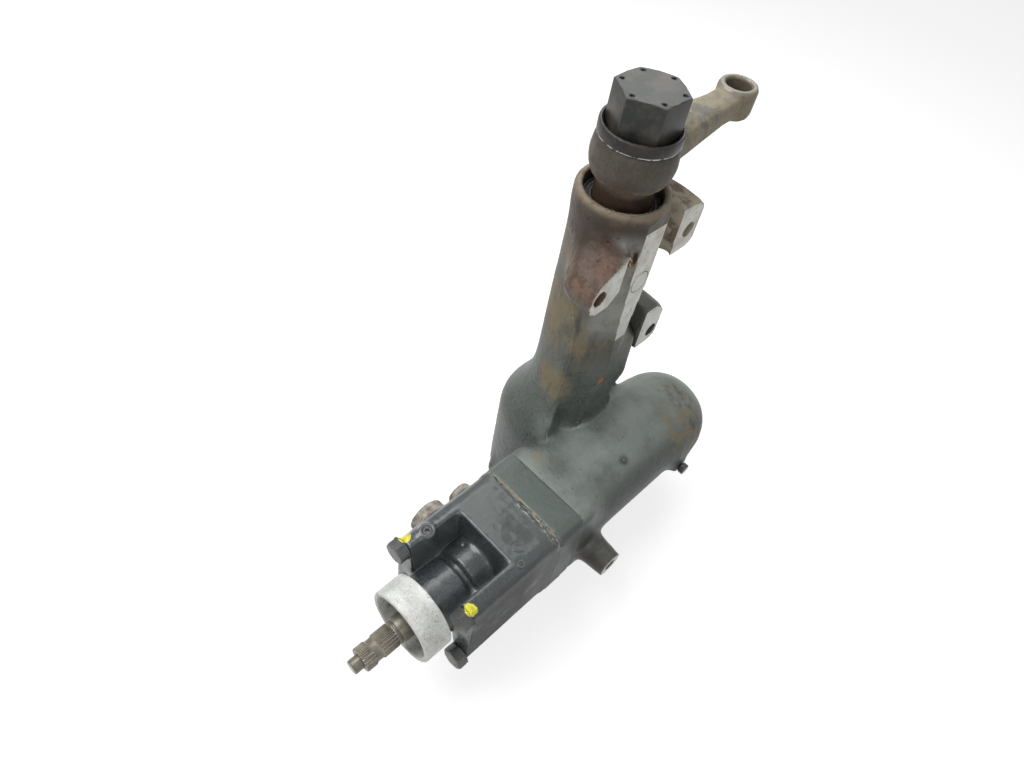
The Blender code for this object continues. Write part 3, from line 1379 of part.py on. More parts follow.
def pitman_arm(sector):
    """The drop arm: barrel-shaped hub, tapering arm and eye."""
    profile = [
        (HUB_RADIUS - 3.2 * MM, HUB_TOP),
        (HUB_RADIUS - 1.6 * MM, HUB_TOP - 5 * MM),
        (HUB_RADIUS, HUB_BOTTOM + HUB_HEIGHT * 0.56),
        (HUB_RADIUS, HUB_BOTTOM + HUB_HEIGHT * 0.4),
        (HUB_RADIUS - 1.8 * MM, HUB_BOTTOM + HUB_HEIGHT * 0.22),
        (HUB_RADIUS - 4 * MM, HUB_BOTTOM + HUB_HEIGHT * 0.08),
        (HUB_FOOT_RADIUS, HUB_BOTTOM),
    ]
    arm = turned("pitman_arm", profile, sides=FINE)
    eye = [
        (EYE_RIM_RADIUS, EYE_TOP + EYE_RIM_HEIGHT),
        (EYE_RIM_RADIUS, EYE_TOP),
        (EYE_RADIUS, EYE_TOP - 1.5 * MM),
        (EYE_RADIUS, EYE_TOP - EYE_HEIGHT + 6 * MM),
        (EYE_RADIUS - 1.5 * MM, EYE_TOP - EYE_HEIGHT + 2 * MM),
        (EYE_RADIUS - 5 * MM, EYE_TOP - EYE_HEIGHT),
    ]
    join(arm, loft("beam", arm_sections()), turned("eye", eye, at=eye_place(), sides=MEDIUM - 4))
    over = 5 * MM
    slope = (EYE_BORE_TOP - EYE_BORE_BOTTOM) / EYE_HEIGHT
    eye_low = EYE_TOP - EYE_HEIGHT - over
    eye_high = EYE_TOP + EYE_RIM_HEIGHT + over
    eye_bore = rod(
        "eye_bore",
        EYE_BORE_BOTTOM - over * slope,
        eye_low,
        eye_high,
        eye_place(),
        "Z",
        MEDIUM - 4,
        EYE_BORE_TOP + over * slope,
    )
    hub_slope = (HUB_BORE_SMALL - HUB_BORE_LARGE) / HUB_HEIGHT
    hub_bore = serrated_cone(
        "hub_bore",
        HUB_BORE_LARGE - over * hub_slope + SERRATION_DEPTH * 0.1,
        HUB_BORE_SMALL + over * hub_slope + SERRATION_DEPTH * 0.1,
        HUB_BOTTOM - over,
        HUB_TOP + over,
        SERRATIONS,
        SERRATION_DEPTH * 0.7,
    )
    cut(arm, eye_bore, hub_bore)
    finish(arm, "forged_steel", sector)


def pitman_nut(sector):
    """The closed hexagon nut, its centre-punched corners and the cupped lock ring under it."""
    turn = math.radians(28)
    nut = hex_head("pitman_nut", NUT_ACROSS_FLATS, NUT_BASE, NUT_TOP, turn=turn, share=NUT_CHAMFER)
    marks = []
    for i in range(6):
        angle = turn + math.radians(60 * i)
        at = (math.cos(angle) * 27.5 * MM, math.sin(angle) * 27.5 * MM, 0)
        radius = NUT_MARK_SIZE / math.sqrt(3) * 1.6
        corners = [angle + math.radians(120 * k) for k in range(3)]
        outline = [(radius * math.cos(corner), radius * math.sin(corner)) for corner in corners]
        marks.append(plate("mark", outline, NUT_TOP - NUT_MARK_DEPTH, NUT_TOP + 2 * MM, at))
    thread = rod("thread", NUT_THREAD_RADIUS, NUT_BASE - 5 * MM, NUT_TOP - NUT_CROWN, sides=MEDIUM)
    cut(nut, thread, *marks)
    finish(nut, "black_oxide", sector)
    inner = NUT_THREAD_RADIUS + CLEARANCE
    floor = LOCK_RING_BASE + LOCK_RING_FLOOR
    high = LOCK_RING_BASE + LOCK_RING_HEIGHT
    lip = LOCK_RING_RADIUS - LOCK_RING_LIP
    profile = [
        (LOCK_RING_RADIUS - 1 * MM, high),
        (LOCK_RING_RADIUS, high - 1 * MM),
        (LOCK_RING_RADIUS, LOCK_RING_BASE + 1 * MM),
        (LOCK_RING_RADIUS - 1 * MM, LOCK_RING_BASE),
    ]
    bore = [(inner, LOCK_RING_BASE), (inner, floor), (lip, floor), (lip, high)]
    finish(turned("nut_lock_ring", profile, bore, sides=FINE), "black_oxide", sector)


def piston_rack(piston):
    """The piston: rack teeth on its flank, ball-nut bore with its track, ring groove and guide pocket."""
    outer = CYLINDER_BORE - CLEARANCE
    groove = outer - PISTON_RING_DEPTH
    half = PISTON_RING_WIDTH / 2 + CLEARANCE
    profile = [
        (outer - 2 * MM, PISTON_REAR),
        (outer, PISTON_REAR - 2 * MM),
        (outer, PISTON_RING_STATION + half),
        (groove, PISTON_RING_STATION + half),
        (groove, PISTON_RING_STATION - half),
        (outer, PISTON_RING_STATION - half),
        (outer, PISTON_FRONT + 2 * MM),
        (outer - 2 * MM, PISTON_FRONT),
    ]
    body = turned("piston_rack", profile, at=WORM_AXIS, axis="Y", sides=FINE)
    root = PITCH_RADIUS + DEDENDUM
    reach = CYLINDER_BORE + 5 * MM
    low = (CENTRE_DISTANCE - reach, -RACK_POCKET, -reach)
    cut(body, block("pocket", low, (root, RACK_POCKET, reach)))
    teeth = []
    for tooth in (-1.5, -0.5, 0.5, 1.5):
        outline = rack_tooth_outline(tooth * math.pi * MODULE)
        teeth.append(plate("tooth", outline, -reach, reach))
    for blank in teeth:
        envelope = rod("envelope", outer - 0.5 * MM, -RACK_POCKET, RACK_POCKET, WORM_AXIS, "Y", FINE)
        combine(blank, "INTERSECT", [envelope])
    join(body, *teeth)
    bore = rod(
        "bore",
        NUT_BORE_RADIUS,
        PISTON_FRONT - 5 * MM,
        PISTON_FRONT + NUT_BORE_DEPTH,
        WORM_AXIS,
        "Y",
        MEDIUM - 4,
    )
    first, last = ball_stations()
    pad = 3 * MM
    track = tube("track", helix(first - pad, last + pad, BALL_PITCH_RADIUS), BALL_RADIUS + TRACK_CLEARANCE)
    holes = []
    for station in (first, last):
        holes.append(guide_leg("leg_hole", station, GUIDE_RADIUS + CLEARANCE, reach))
    slot = block(
        "guide_pocket",
        on_worm(first - 9 * MM, GUIDE_POCKET_FLOOR, -GUIDE_POCKET_HALF_WIDTH),
        on_worm(last + 9 * MM, reach, GUIDE_POCKET_HALF_WIDTH),
    )
    cut(body, bore, track, slot, *holes)
    finish(body, "bright_steel", piston)


def ball_stations():
    """Where the ball train starts and ends: whole turns apart, so that both ends face the guide."""
    turn_length = math.hypot(2 * math.pi * BALL_PITCH_RADIUS, WORM_LEAD)
    spacing = 2 * BALL_RADIUS - BALL_OVERLAP
    length = spacing * (BALLS_IN_TRAIN - 1)
    return BALL_TRAIN_START, BALL_TRAIN_START + WORM_LEAD * round(length / turn_length)


def guide_leg(name, station, radius, reach):
    """A radial rod on the guide's side of the piston."""
    return rod(name, radius, BALL_PITCH_RADIUS + BALL_RADIUS + 1 * MM, reach, on_worm(station), "X", SMALL)


def ball_train(piston):
    """The balls of the circuit, each just touching the next."""
    first, last = ball_stations()
    turn_length = math.hypot(2 * math.pi * BALL_PITCH_RADIUS, WORM_LEAD)
    length = turn_length * (last - first) / WORM_LEAD
    count = math.ceil(length / (2 * BALL_RADIUS - BALL_OVERLAP)) + 1
    balls = []
    for i in range(count):
        y = first + (last - first) * i / (count - 1)
        angle = 2 * math.pi * (y - BALL_TRAIN_START) / WORM_LEAD
        place = on_worm(y, BALL_PITCH_RADIUS * math.cos(angle), -BALL_PITCH_RADIUS * math.sin(angle))
        shape = bmesh.new()
        bmesh.ops.create_uvsphere(shape, u_segments=6, v_segments=4, radius=BALL_RADIUS)
        mesh = bpy.data.meshes.new("ball")
        shape.to_mesh(mesh)
        shape.free()
        ball = add_mesh("ball_train" if i == 0 else "ball", mesh, place)
        along = Vector((-math.sin(angle), WORM_LEAD / (2 * math.pi * BALL_PITCH_RADIUS), -math.cos(angle)))
        ball.rotation_euler = along.to_track_quat("Z", "Y").to_euler()
        balls.append(ball)
    finish(join(balls[0], *balls[1:]), "bright_steel", piston)


def ball_guide(piston):
    """The tube that takes the balls back from one end of the track to the other, and its clamp."""
    first, last = ball_stations()
    low = BALL_PITCH_RADIUS + BALL_RADIUS + 2 * MM
    bend = 4 * MM
    points = [
        on_worm(first, low),
        on_worm(first, GUIDE_REACH - bend),
        on_worm(first + bend * 0.3, GUIDE_REACH - bend * 0.3),
        on_worm(first + bend, GUIDE_REACH),
        on_worm(last - bend, GUIDE_REACH),
        on_worm(last - bend * 0.3, GUIDE_REACH - bend * 0.3),
        on_worm(last, GUIDE_REACH - bend),
        on_worm(last, low),
    ]
    finish(tube("ball_guide", points, GUIDE_RADIUS), "bright_steel", piston)
    middle = (first + last) / 2
    base = GUIDE_POCKET_FLOOR + CLEARANCE
    inside = GUIDE_RADIUS + CLEARANCE
    wall = 1.4 * MM
    foot = GUIDE_POCKET_HALF_WIDTH - CLEARANCE
    crown = GUIDE_REACH + inside
    outline = [
        (-foot, base),
        (-inside, base),
        (-inside, crown),
        (inside, crown),
        (inside, base),
        (foot, base),
    ]
    outline += [
        (foot, base + wall),
        (inside + wall, base + wall),
        (inside + wall, crown + wall),
        (-inside - wall, crown + wall),
        (-inside - wall, base + wall),
        (-foot, base + wall),
    ]
    points = [(CENTRE_DISTANCE + reach, across) for across, reach in outline]
    clamp = plate("guide_clamp", points, middle - 3 * MM, middle + 3 * MM, axis="Y")
    finish(clamp, "bright_steel", piston)


def piston_ring(piston):
    """The sealing ring in the piston's groove."""
    outer = CYLINDER_BORE - CLEARANCE / 2
    inner = CYLINDER_BORE - CLEARANCE - PISTON_RING_DEPTH + CLEARANCE
    half = PISTON_RING_WIDTH / 2
    low = PISTON_RING_STATION - half
    piece = ring("piston_ring", outer - 0.1 * MM, inner, low, low + PISTON_RING_WIDTH, WORM_AXIS, "Y", FINE)
    finish(piece, "rubber", piston)


def worm_shaft(worm):
    """The worm: ball track, journal, bearing seat and the slotted head that drives the sleeve."""
    seat = WORM_BEARING_BORE - CLEARANCE
    sleeve_seat = SLEEVE_SEAT_RADIUS
    collar = BLOCK_PASSAGE - 1 * MM
    profile = [
        (WORM_RADIUS - 2 * MM, WORM_FREE_END),
        (WORM_RADIUS, WORM_FREE_END - 2 * MM),
        (WORM_RADIUS, WORM_THREAD_START),
        (WORM_RADIUS + 1.5 * MM, WORM_THREAD_START - 4 * MM),
        (WORM_RADIUS + 1.5 * MM, FLANGE_FACE + 3 * MM),
        (collar - 2 * MM, FLANGE_FACE + 3 * MM),
        (collar - 2 * MM, WORM_BEARING_FACE - CLEARANCE),
        (seat, WORM_BEARING_FACE - CLEARANCE),
        (seat, WORM_BEARING_END - CLEARANCE),
        (collar - 2 * MM, WORM_BEARING_END - CLEARANCE),
        (collar - 2 * MM, WORM_HEAD_END),
        (sleeve_seat, WORM_HEAD_END),
        (sleeve_seat, SLEEVE_SEAT_END),
    ]
    body = turned("worm_shaft", profile, at=WORM_AXIS, axis="Y", sides=MEDIUM - 4)
    runout = 3 * MM
    points = helix(WORM_FREE_END + runout, WORM_THREAD_START + runout, BALL_PITCH_RADIUS)
    track = tube("track", points, BALL_RADIUS + TRACK_CLEARANCE)
    bar = TORSION_HEAD_RADIUS + CLEARANCE
    bar_end = torsion_stations()[0] + CLEARANCE
    bore = rod("bar_bore", bar, SLEEVE_SEAT_END - 5 * MM, bar_end, WORM_AXIS, "Y", SMALL)
    reach = SLEEVE_SEAT_RADIUS + 2 * MM
    gap = DOG_WIDTH / 2 + SLEEVE_SEAT_RADIUS * math.sin(TWIST_LIMIT + math.radians(1)) + CLEARANCE
    slot_start = SLEEVE_SEAT_END + SLEEVE_SEAT_LENGTH - 4 * MM
    slot = block("slot", on_worm(SLEEVE_SEAT_END - 5 * MM, -reach, -gap), on_worm(slot_start, reach, gap))
    at = on_worm(torsion_stations()[1])
    pin = rod("pin_hole", PIN_RADIUS + CLEARANCE, -25 * MM, 25 * MM, at, "Z", SMALL - 4)
    cut(body, track, bore, slot, pin)
    finish(body, "bright_steel", worm)


def torsion_stations():
    """The torsion bar's inner end, its inner pin, its outer pin and its outer end."""
    inner_end = FLANGE_FACE + 24 * MM
    outer_end = INPUT_BEARING_END - 14 * MM
    return inner_end, inner_end - TORSION_HEAD_LENGTH / 2, outer_end + TORSION_HEAD_LENGTH / 2, outer_end


def valve_sleeve(worm):
    """The valve's outer sleeve, with its three ring grooves and six slots inside."""
    inner = ROTOR_RADIUS + CLEARANCE
    seat = SLEEVE_SEAT_RADIUS + CLEARANCE
    groove = SLEEVE_RADIUS - 3 * MM
    land = 7 * MM
    profile = [(SLEEVE_RADIUS, SLEEVE_START)]
    first = SLEEVE_START - 20 * MM
    for i in range(3):
        high = first - i * 20 * MM
        low = high - 9 * MM
        profile += [(SLEEVE_RADIUS, high), (groove, high), (groove, low), (SLEEVE_RADIUS, low)]
    profile.append((SLEEVE_RADIUS, SLEEVE_END))
    step = SLEEVE_SEAT_END - land
    bore = [(inner, SLEEVE_END), (inner, step), (seat, step), (seat, SLEEVE_START)]
    body = turned("valve_sleeve", profile, bore, WORM_AXIS, "Y", MEDIUM)
    slots = []
    for i in range(6):
        angle = math.radians(60 * i + 30)
        at = on_worm(0, inner * math.cos(angle), inner * math.sin(angle))
        low = SLEEVE_END + 16 * MM
        slots.append(rod("slot", 2 * MM, low, SLEEVE_SEAT_END - land - 6 * MM, at, "Y", 8))
    cut(body, *slots)
    finish(body, "bright_steel", worm)


def worm_bearings(case):
    """The worm's bearing and its nut in the block, and the needle bearing and seal of the input shaft."""
    outer = WORM_BEARING_RADIUS
    inner = WORM_BEARING_BORE
    high = WORM_BEARING_FACE - CLEARANCE
    low = WORM_BEARING_END
    race = 4.2 * MM
    profile = [(outer - 1 * MM, high), (outer, high - 1 * MM), (outer, low + 1 * MM), (outer - 1 * MM, low)]
    profile += [
        (outer - race, low),
        (outer - race - 0.5 * MM, low + 3 * MM),
        (inner + race + 0.5 * MM, low + 3 * MM),
        (inner + race, low),
    ]
    bore = [
        (inner, low),
        (inner, high),
        (inner + race, high),
        (inner + race + 0.5 * MM, high - 3 * MM),
        (outer - race - 0.5 * MM, high - 3 * MM),
        (outer - race, high),
    ]
    finish(turned("worm_bearing", profile, bore, WORM_AXIS, "Y", MEDIUM), "bright_steel", case)
    high = WORM_BEARING_END - CLEARANCE
    nut = ring("bearing_nut", outer, BLOCK_PASSAGE, BEARING_NUT_END, high, WORM_AXIS, "Y", MEDIUM)
    notches = []
    for i in range(4):
        angle = math.radians(90 * i + 45)
        middle = (outer + BLOCK_PASSAGE) / 2
        at = on_worm(0, middle * math.cos(angle), middle * math.sin(angle))
        notches.append(rod("notch", 2.2 * MM, BEARING_NUT_END - 5 * MM, BEARING_NUT_END + 4 * MM, at, "Y", 8))
    cut(nut, *notches)
    finish(nut, "bright_steel", case)
    inner = INPUT_SHAFT_RADIUS + CLEARANCE
    outer = inner + INPUT_BEARING_WALL
    piece = ring(
        "input_bearing", outer, inner, INPUT_BEARING_END, INPUT_BEARING_START, WORM_AXIS, "Y", MEDIUM
    )
    finish(piece, "bright_steel", case)
    low = INPUT_SEAL_START - CLEARANCE - INPUT_SEAL_LENGTH
    seal = lip_seal("input_seal", inner + INPUT_SEAL_WALL, inner, low, INPUT_SEAL_LENGTH, WORM_AXIS, "Y")
    finish(seal, "rubber", case)


def torsion_bar(worm, rotor):
    """The bar that centres the valve, and the pins at its ends."""
    inner_end, inner_pin, outer_pin, outer_end = torsion_stations()
    head = TORSION_HEAD_RADIUS
    profile = [
        (head, inner_end),
        (head, inner_end - TORSION_HEAD_LENGTH),
        (TORSION_BAR_RADIUS, inner_end - TORSION_HEAD_LENGTH - 4 * MM),
        (TORSION_BAR_RADIUS, outer_end + TORSION_HEAD_LENGTH + 4 * MM),
        (head, outer_end + TORSION_HEAD_LENGTH),
        (head, outer_end),
    ]
    bar = turned("torsion_bar", profile, at=WORM_AXIS, axis="Y", sides=SMALL)
    holes = []
    for station in (inner_pin, outer_pin):
        holes.append(rod("hole", PIN_RADIUS + CLEARANCE, -20 * MM, 20 * MM, on_worm(station), "Z", SMALL - 4))
    cut(bar, *holes)
    finish(bar, "bright_steel", worm)
    reach = WORM_RADIUS - 0.5 * MM
    pin = rod("worm_pin", PIN_RADIUS, -reach, reach, on_worm(inner_pin), "Z", SMALL - 4)
    finish(pin, "bright_steel", worm)
    reach = INPUT_SHAFT_RADIUS - 1 * MM
    pin = rod("input_pin", PIN_RADIUS, -reach, reach, on_worm(outer_pin), "Z", SMALL - 4)
    finish(pin, "bright_steel", rotor)


def input_shaft(rotor):
    """The input shaft: rotor with its slots and dogs inside, two serrated bands and a pilot outside."""
    outer_band = SHAFT_TIP + PILOT_LENGTH
    groove = outer_band + OUTER_BAND_LENGTH
    inner_band = groove + CLAMP_GROOVE_LENGTH
    collar = inner_band + INNER_BAND_LENGTH
    profile = [
        (ROTOR_RADIUS, ROTOR_START),
        (ROTOR_RADIUS, SLEEVE_END - 1 * MM),
        (INPUT_SHAFT_RADIUS, SLEEVE_END - 1 * MM),
        (INPUT_SHAFT_RADIUS, collar + 8 * MM),
        (SPLINE_RADIUS + 0.8 * MM, collar + 7 * MM),
        (SPLINE_RADIUS + 0.8 * MM, collar + 4.5 * MM),
        (CLAMP_GROOVE_RADIUS, collar + 4 * MM),
        (SPLINE_RADIUS + 0.4 * MM, collar + 3.4 * MM),
        (SPLINE_RADIUS + 0.4 * MM, collar + 0.5 * MM),
        (CLAMP_GROOVE_RADIUS, collar),
        (CLAMP_GROOVE_RADIUS, outer_band + 1 * MM),
        (PILOT_RADIUS, outer_band + 1 * MM),
        (PILOT_RADIUS, SHAFT_TIP + 1 * MM),
        (PILOT_RADIUS - 1 * MM, SHAFT_TIP),
    ]
    body = turned("input_shaft", profile, at=WORM_AXIS, axis="Y", sides=MEDIUM - 4)
    bands = []
    depth = SPLINE_DEPTH + 0.1 * MM
    radius = SPLINE_RADIUS
    for low, high in ((outer_band, groove), (inner_band, collar + 1 * MM)):
        bands.append(serrated_cone("band", radius, radius, low, high, SPLINE_TEETH, depth, WORM_AXIS, "Y"))
    half = DOG_WIDTH / 2
    dog_start = SLEEVE_SEAT_END + SLEEVE_SEAT_LENGTH - 6 * MM
    dog = rod("dogs", ROTOR_RADIUS - 0.8 * MM, ROTOR_START - 1 * MM, dog_start, WORM_AXIS, "Y", MEDIUM - 4)
    low = on_worm(ROTOR_START - 5 * MM, -20 * MM, -half)
    trim = block("trim", low, on_worm(dog_start + 5 * MM, 20 * MM, half))
    combine(dog, "INTERSECT", [trim])
    join(body, dog, *bands)
    cutters = []
    bar = TORSION_HEAD_RADIUS + CLEARANCE
    end = torsion_stations()[3] - CLEARANCE
    cutters.append(rod("bar_bore", bar, end, dog_start + 5 * MM, WORM_AXIS, "Y", SMALL))
    pin_at = on_worm(torsion_stations()[2])
    cutters.append(rod("pin_hole", PIN_RADIUS + CLEARANCE, -20 * MM, 20 * MM, pin_at, "Z", SMALL - 4))
    for i in range(6):
        angle = math.radians(60 * i)
        at = on_worm(0, ROTOR_RADIUS * math.cos(angle), ROTOR_RADIUS * math.sin(angle))
        cutters.append(rod("slot", 2 * MM, SLEEVE_END + 14 * MM, ROTOR_START - 14 * MM, at, "Y", 8))
    cut(body, *cutters)
    finish(body, "bright_steel", rotor)


def input_cup(case):
    """The aluminium cup round the input shaft."""
    mouth = CUP_BASE - CUP_LENGTH
    floor = CUP_BASE - CUP_FLOOR
    profile = [
        (CUP_RADIUS, CUP_BASE),
        (CUP_RADIUS, mouth + 2.5 * MM),
        (CUP_RADIUS - 1.5 * MM, mouth),
    ]
    bore = [
        (CUP_BORE + 2 * MM, mouth),
        (CUP_BORE, mouth + 3 * MM),
        (CUP_BORE, floor),
        (CUP_SHAFT_HOLE, floor),
        (CUP_SHAFT_HOLE, CUP_BASE),
    ]
    finish(turned("input_cup", profile, bore, WORM_AXIS, "Y", FINE), "aluminium", case)


def layout_origin():
    """The middle of the layout's underside, at the cover bolts' heads."""
    left = -COVER_BOLT_CIRCLE - COVER_LOBE_RADIUS
    right = CENTRE_DISTANCE + STUB_REACH
    front = SHAFT_TIP
    back = eye_place().y + EYE_RADIUS
    under = COVER_BOTTOM - CLEARANCE - COVER_BOLT_HEAD
    return Vector(((left + right) / 2, (front + back) / 2, under))


def build():
    """Makes every piece on the empty of the body that it moves with."""
    gearbox = empty("gearbox", (0, 0, 0))
    case = empty("case", (0, 0, 0), gearbox)
    sector = empty("sector_axis", (0, 0, 0), gearbox)
    piston = empty("piston_axis", WORM_AXIS, gearbox)
    worm = empty("worm_axis", WORM_AXIS, gearbox)
    rotor = empty("rotor_axis", WORM_AXIS, gearbox)
    main_housing(case)
    bearing_block(case)
    valve_housing(case)
    valve_plugs(case)
    flange_bolts(case)
    sector_cover(case)
    cover_bolts(case)
    adjuster(case, sector)
    sector_bearings(case)
    grease_nipple(case)
    limiter_screw(case)
    worm_bearings(case)
    input_cup(case)
    sector_shaft(sector)
    pitman_arm(sector)
    pitman_nut(sector)
    piston_rack(piston)
    piston_ring(piston)
    ball_train(piston)
    ball_guide(piston)
    worm_shaft(worm)
    valve_sleeve(worm)
    torsion_bar(worm, rotor)
    input_shaft(rotor)
    gearbox.location = -layout_origin()


clear_scene()
PIECES = collection("steering_gearbox")
WORKSHOP = collection("cutters")
build()
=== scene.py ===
"""Looks of a hydraulic steering gearbox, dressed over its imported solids."""

import json
import logging
import math
from dataclasses import dataclass
from enum import Enum
from functools import cache

import bmesh
import bpy
import numpy as np
from mathutils import Matrix, Vector


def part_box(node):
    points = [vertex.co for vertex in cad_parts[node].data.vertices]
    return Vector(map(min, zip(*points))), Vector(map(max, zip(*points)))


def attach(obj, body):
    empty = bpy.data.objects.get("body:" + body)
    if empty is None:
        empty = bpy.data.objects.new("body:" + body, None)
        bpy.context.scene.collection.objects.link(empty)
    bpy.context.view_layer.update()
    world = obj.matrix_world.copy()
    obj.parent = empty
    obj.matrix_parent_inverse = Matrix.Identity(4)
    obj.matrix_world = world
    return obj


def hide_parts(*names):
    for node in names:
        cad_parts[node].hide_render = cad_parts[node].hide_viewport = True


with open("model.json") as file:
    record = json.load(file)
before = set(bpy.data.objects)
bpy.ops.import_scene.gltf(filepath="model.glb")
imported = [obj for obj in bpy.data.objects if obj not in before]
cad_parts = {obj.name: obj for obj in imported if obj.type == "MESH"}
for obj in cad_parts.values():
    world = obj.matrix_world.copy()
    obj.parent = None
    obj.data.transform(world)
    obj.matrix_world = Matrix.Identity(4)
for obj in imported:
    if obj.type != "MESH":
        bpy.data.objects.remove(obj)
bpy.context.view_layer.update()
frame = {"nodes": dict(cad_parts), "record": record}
LOG = logging.getLogger("gearbox")

Colour = tuple[float, float, float, float]
Seen = tuple[int, int, int]
Place = tuple[float, float, float]
Array = np.ndarray
Piece = bpy.types.Object
Material = bpy.types.Material
Tree = bpy.types.NodeTree
Socket = bpy.types.NodeSocket


class Body(Enum):
    """The bodies that move together."""

    CASE = "case"
    SECTOR = "sector"
    INPUT = "input"


class Slot(Enum):
    """The record's material slots."""

    GREEN = "grey_green_paint"
    BLACK = "black_paint"
    FORGED = "forged_steel"
    OXIDE = "black_oxide"
    BRIGHT = "bright_steel"
    ALUMINIUM = "aluminium"
    BRASS = "brass"
    RUBBER = "rubber"


class Axis(Enum):
    """The three axes, as (along, first across, second across)."""

    X = (0, 1, 2)
    Y = (1, 2, 0)
    Z = (2, 0, 1)


def paint(seen: Seen) -> Colour:
    """A colour in linear light.

    Args:
        seen: Red, green and blue as seen, from 0 to 255.

    Returns:
        Red, green and blue in linear light, and a full alpha.
    """
    share = np.array(seen) / 255.0
    linear = np.where(share <= 0.04045, share / 12.92, ((share + 0.055) / 1.055) ** 2.4)
    return (*(float(part) for part in linear), 1.0)


@dataclass(frozen=True)
class Layout:
    """The gearbox's own layout: millimetres from the sector's axis and the height of the worm's axis."""

    shift: tuple[float, float, float]

    @classmethod
    def read(cls) -> "Layout":
        """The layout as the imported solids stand: the nut gives the sector's axis, the cup the worm's height."""
        nut_low, nut_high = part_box("pitman_nut")
        cup_low, cup_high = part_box("input_cup")
        middle = (nut_low + nut_high) * 500
        return cls((middle.x, middle.y, (cup_low.z + cup_high.z) * 500))

    def place(self, points: Array) -> Array:
        """Layout millimetres as row-frame metres."""
        return (np.asarray(points, float) + self.shift) / 1000

    def local(self, points: Array) -> Array:
        """Row-frame metres as layout millimetres."""
        return np.asarray(points, float) * 1000 - self.shift

    def at(self, x: float, y: float, z: float) -> Place:
        """One layout place in row-frame metres."""
        return tuple(float(part) for part in self.place(np.array((x, y, z))))


LAYOUT = Layout.read()
WORM_X = 85.0
WORM = (WORM_X, 0.0, 0.0)
SECTOR = (0.0, 0.0, 0.0)
NODE_SLOTS = {entry["node"]: Slot(entry["material_slot"]) for entry in frame["record"]["subparts"]}


# Meshes


def grid_faces(rows: int, columns: int, wrap: bool = True) -> Array:
    """The quads of a grid of points, numbered row by row.

    Args:
        rows: Number of rows.
        columns: Number of points in a row.
        wrap: Whether the last column joins the first.

    Returns:
        One row of four point numbers for each quad.
    """
    across = columns if wrap else columns - 1
    i = np.arange(rows - 1)[:, None]
    j = np.arange(across)[None, :]
    a = i * columns + j
    b = i * columns + (j + 1) % columns
    return np.stack([a, b, b + columns, a + columns], -1).reshape(-1, 4)


def mesh_object(name: str, points: Array, faces: Array, sharp: float = 35.0) -> Piece:
    """An object from arrays, with doubles merged, faces outwards and edges sharp above an angle.

    Args:
        name: The piece's name.
        points: Row-frame metres, one row a point.
        faces: Point numbers, one row a face.
        sharp: Angle in degrees above which an edge stays sharp.

    Returns:
        The object, standing at the origin.
    """
    mesh = bpy.data.meshes.new(name)
    mesh.from_pydata(points.tolist(), [], faces.tolist())
    shape = bmesh.new()
    shape.from_mesh(mesh)
    bmesh.ops.remove_doubles(shape, verts=shape.verts, dist=2e-6)
    bmesh.ops.dissolve_degenerate(shape, edges=shape.edges, dist=1e-6)
    bmesh.ops.recalc_face_normals(shape, faces=shape.faces)
    shape.to_mesh(mesh)
    shape.free()
    mesh.shade_smooth()
    mesh.set_sharp_from_angle(angle=math.radians(sharp))
    piece = bpy.data.objects.new(name, mesh)
    bpy.context.scene.collection.objects.link(piece)
    return piece


def read_points(piece: Piece) -> Array:
    """A piece's points in layout millimetres."""
    found = np.zeros(len(piece.data.vertices) * 3)
    piece.data.vertices.foreach_get("co", found)
    return LAYOUT.local(found.reshape(-1, 3))


def write_points(piece: Piece, points: Array) -> None:
    """Moves a piece's points to places in layout millimetres."""
    piece.data.vertices.foreach_set("co", LAYOUT.place(points).reshape(-1))
    piece.data.update()


def turned(
    name: str,
    profile: list[tuple[float, float]],
    axis: Axis,
    centre: Place,
    steps: int = 96,
    ripple: Array | None = None,
    closed: bool = True,
) -> Piece:
    """A turned piece: each profile point (radius, station) goes round the axis.

    A point is centre + station along the axis + radius times (cosine, sine) across it; the ripple is
    added to the radius.

    Args:
        name: The piece's name.
        profile: Radius and station of each point in millimetres.
        axis: The axis it is turned about.
        centre: A point of the axis in layout millimetres.
        steps: Points round the axis.
        ripple: What is added to the radius, as rows for profile points and columns round the axis.
        closed: Whether the last profile point joins the first.

    Returns:
        The object.
    """
    rows = np.array(list(profile) + ([profile[0]] if closed else []))
    radius, station = rows[:, :1] * np.ones((1, steps)), rows[:, 1:] * np.ones((1, steps))
    if ripple is not None:
        radius = radius + (np.vstack([ripple, ripple[:1]]) if closed else ripple)
    angle = np.linspace(0, 2 * math.pi, steps, endpoint=False)[None, :]
    along, first, second = axis.value
    points = np.zeros((len(rows), steps, 3))
    points[..., along] = station
    points[..., first] = radius * np.cos(angle)
    points[..., second] = radius * np.sin(angle)
    points = points.reshape(-1, 3) + np.array(centre)
    return mesh_object(name, LAYOUT.place(points), grid_faces(len(rows), steps))


def merged_copy(node: str, name: str, flat: bool = True) -> Piece:
    """A copy of a CAD node's mesh with its loose triangles joined.

    Args:
        node: The CAD node.
        name: The copy's name.
        flat: Whether triangles in one plane become one face.

    Returns:
        The new object.
    """
    shape = bmesh.new()
    shape.from_mesh(frame["nodes"][node].data)
    bmesh.ops.remove_doubles(shape, verts=shape.verts, dist=1.5e-6)
    if flat:
        bmesh.ops.dissolve_limit(shape, angle_limit=math.radians(0.6), verts=shape.verts, edges=shape.edges)
    mesh = bpy.data.meshes.new(name)
    shape.to_mesh(mesh)
    shape.free()
    piece = bpy.data.objects.new(name, mesh)
    bpy.context.scene.collection.objects.link(piece)
    return piece


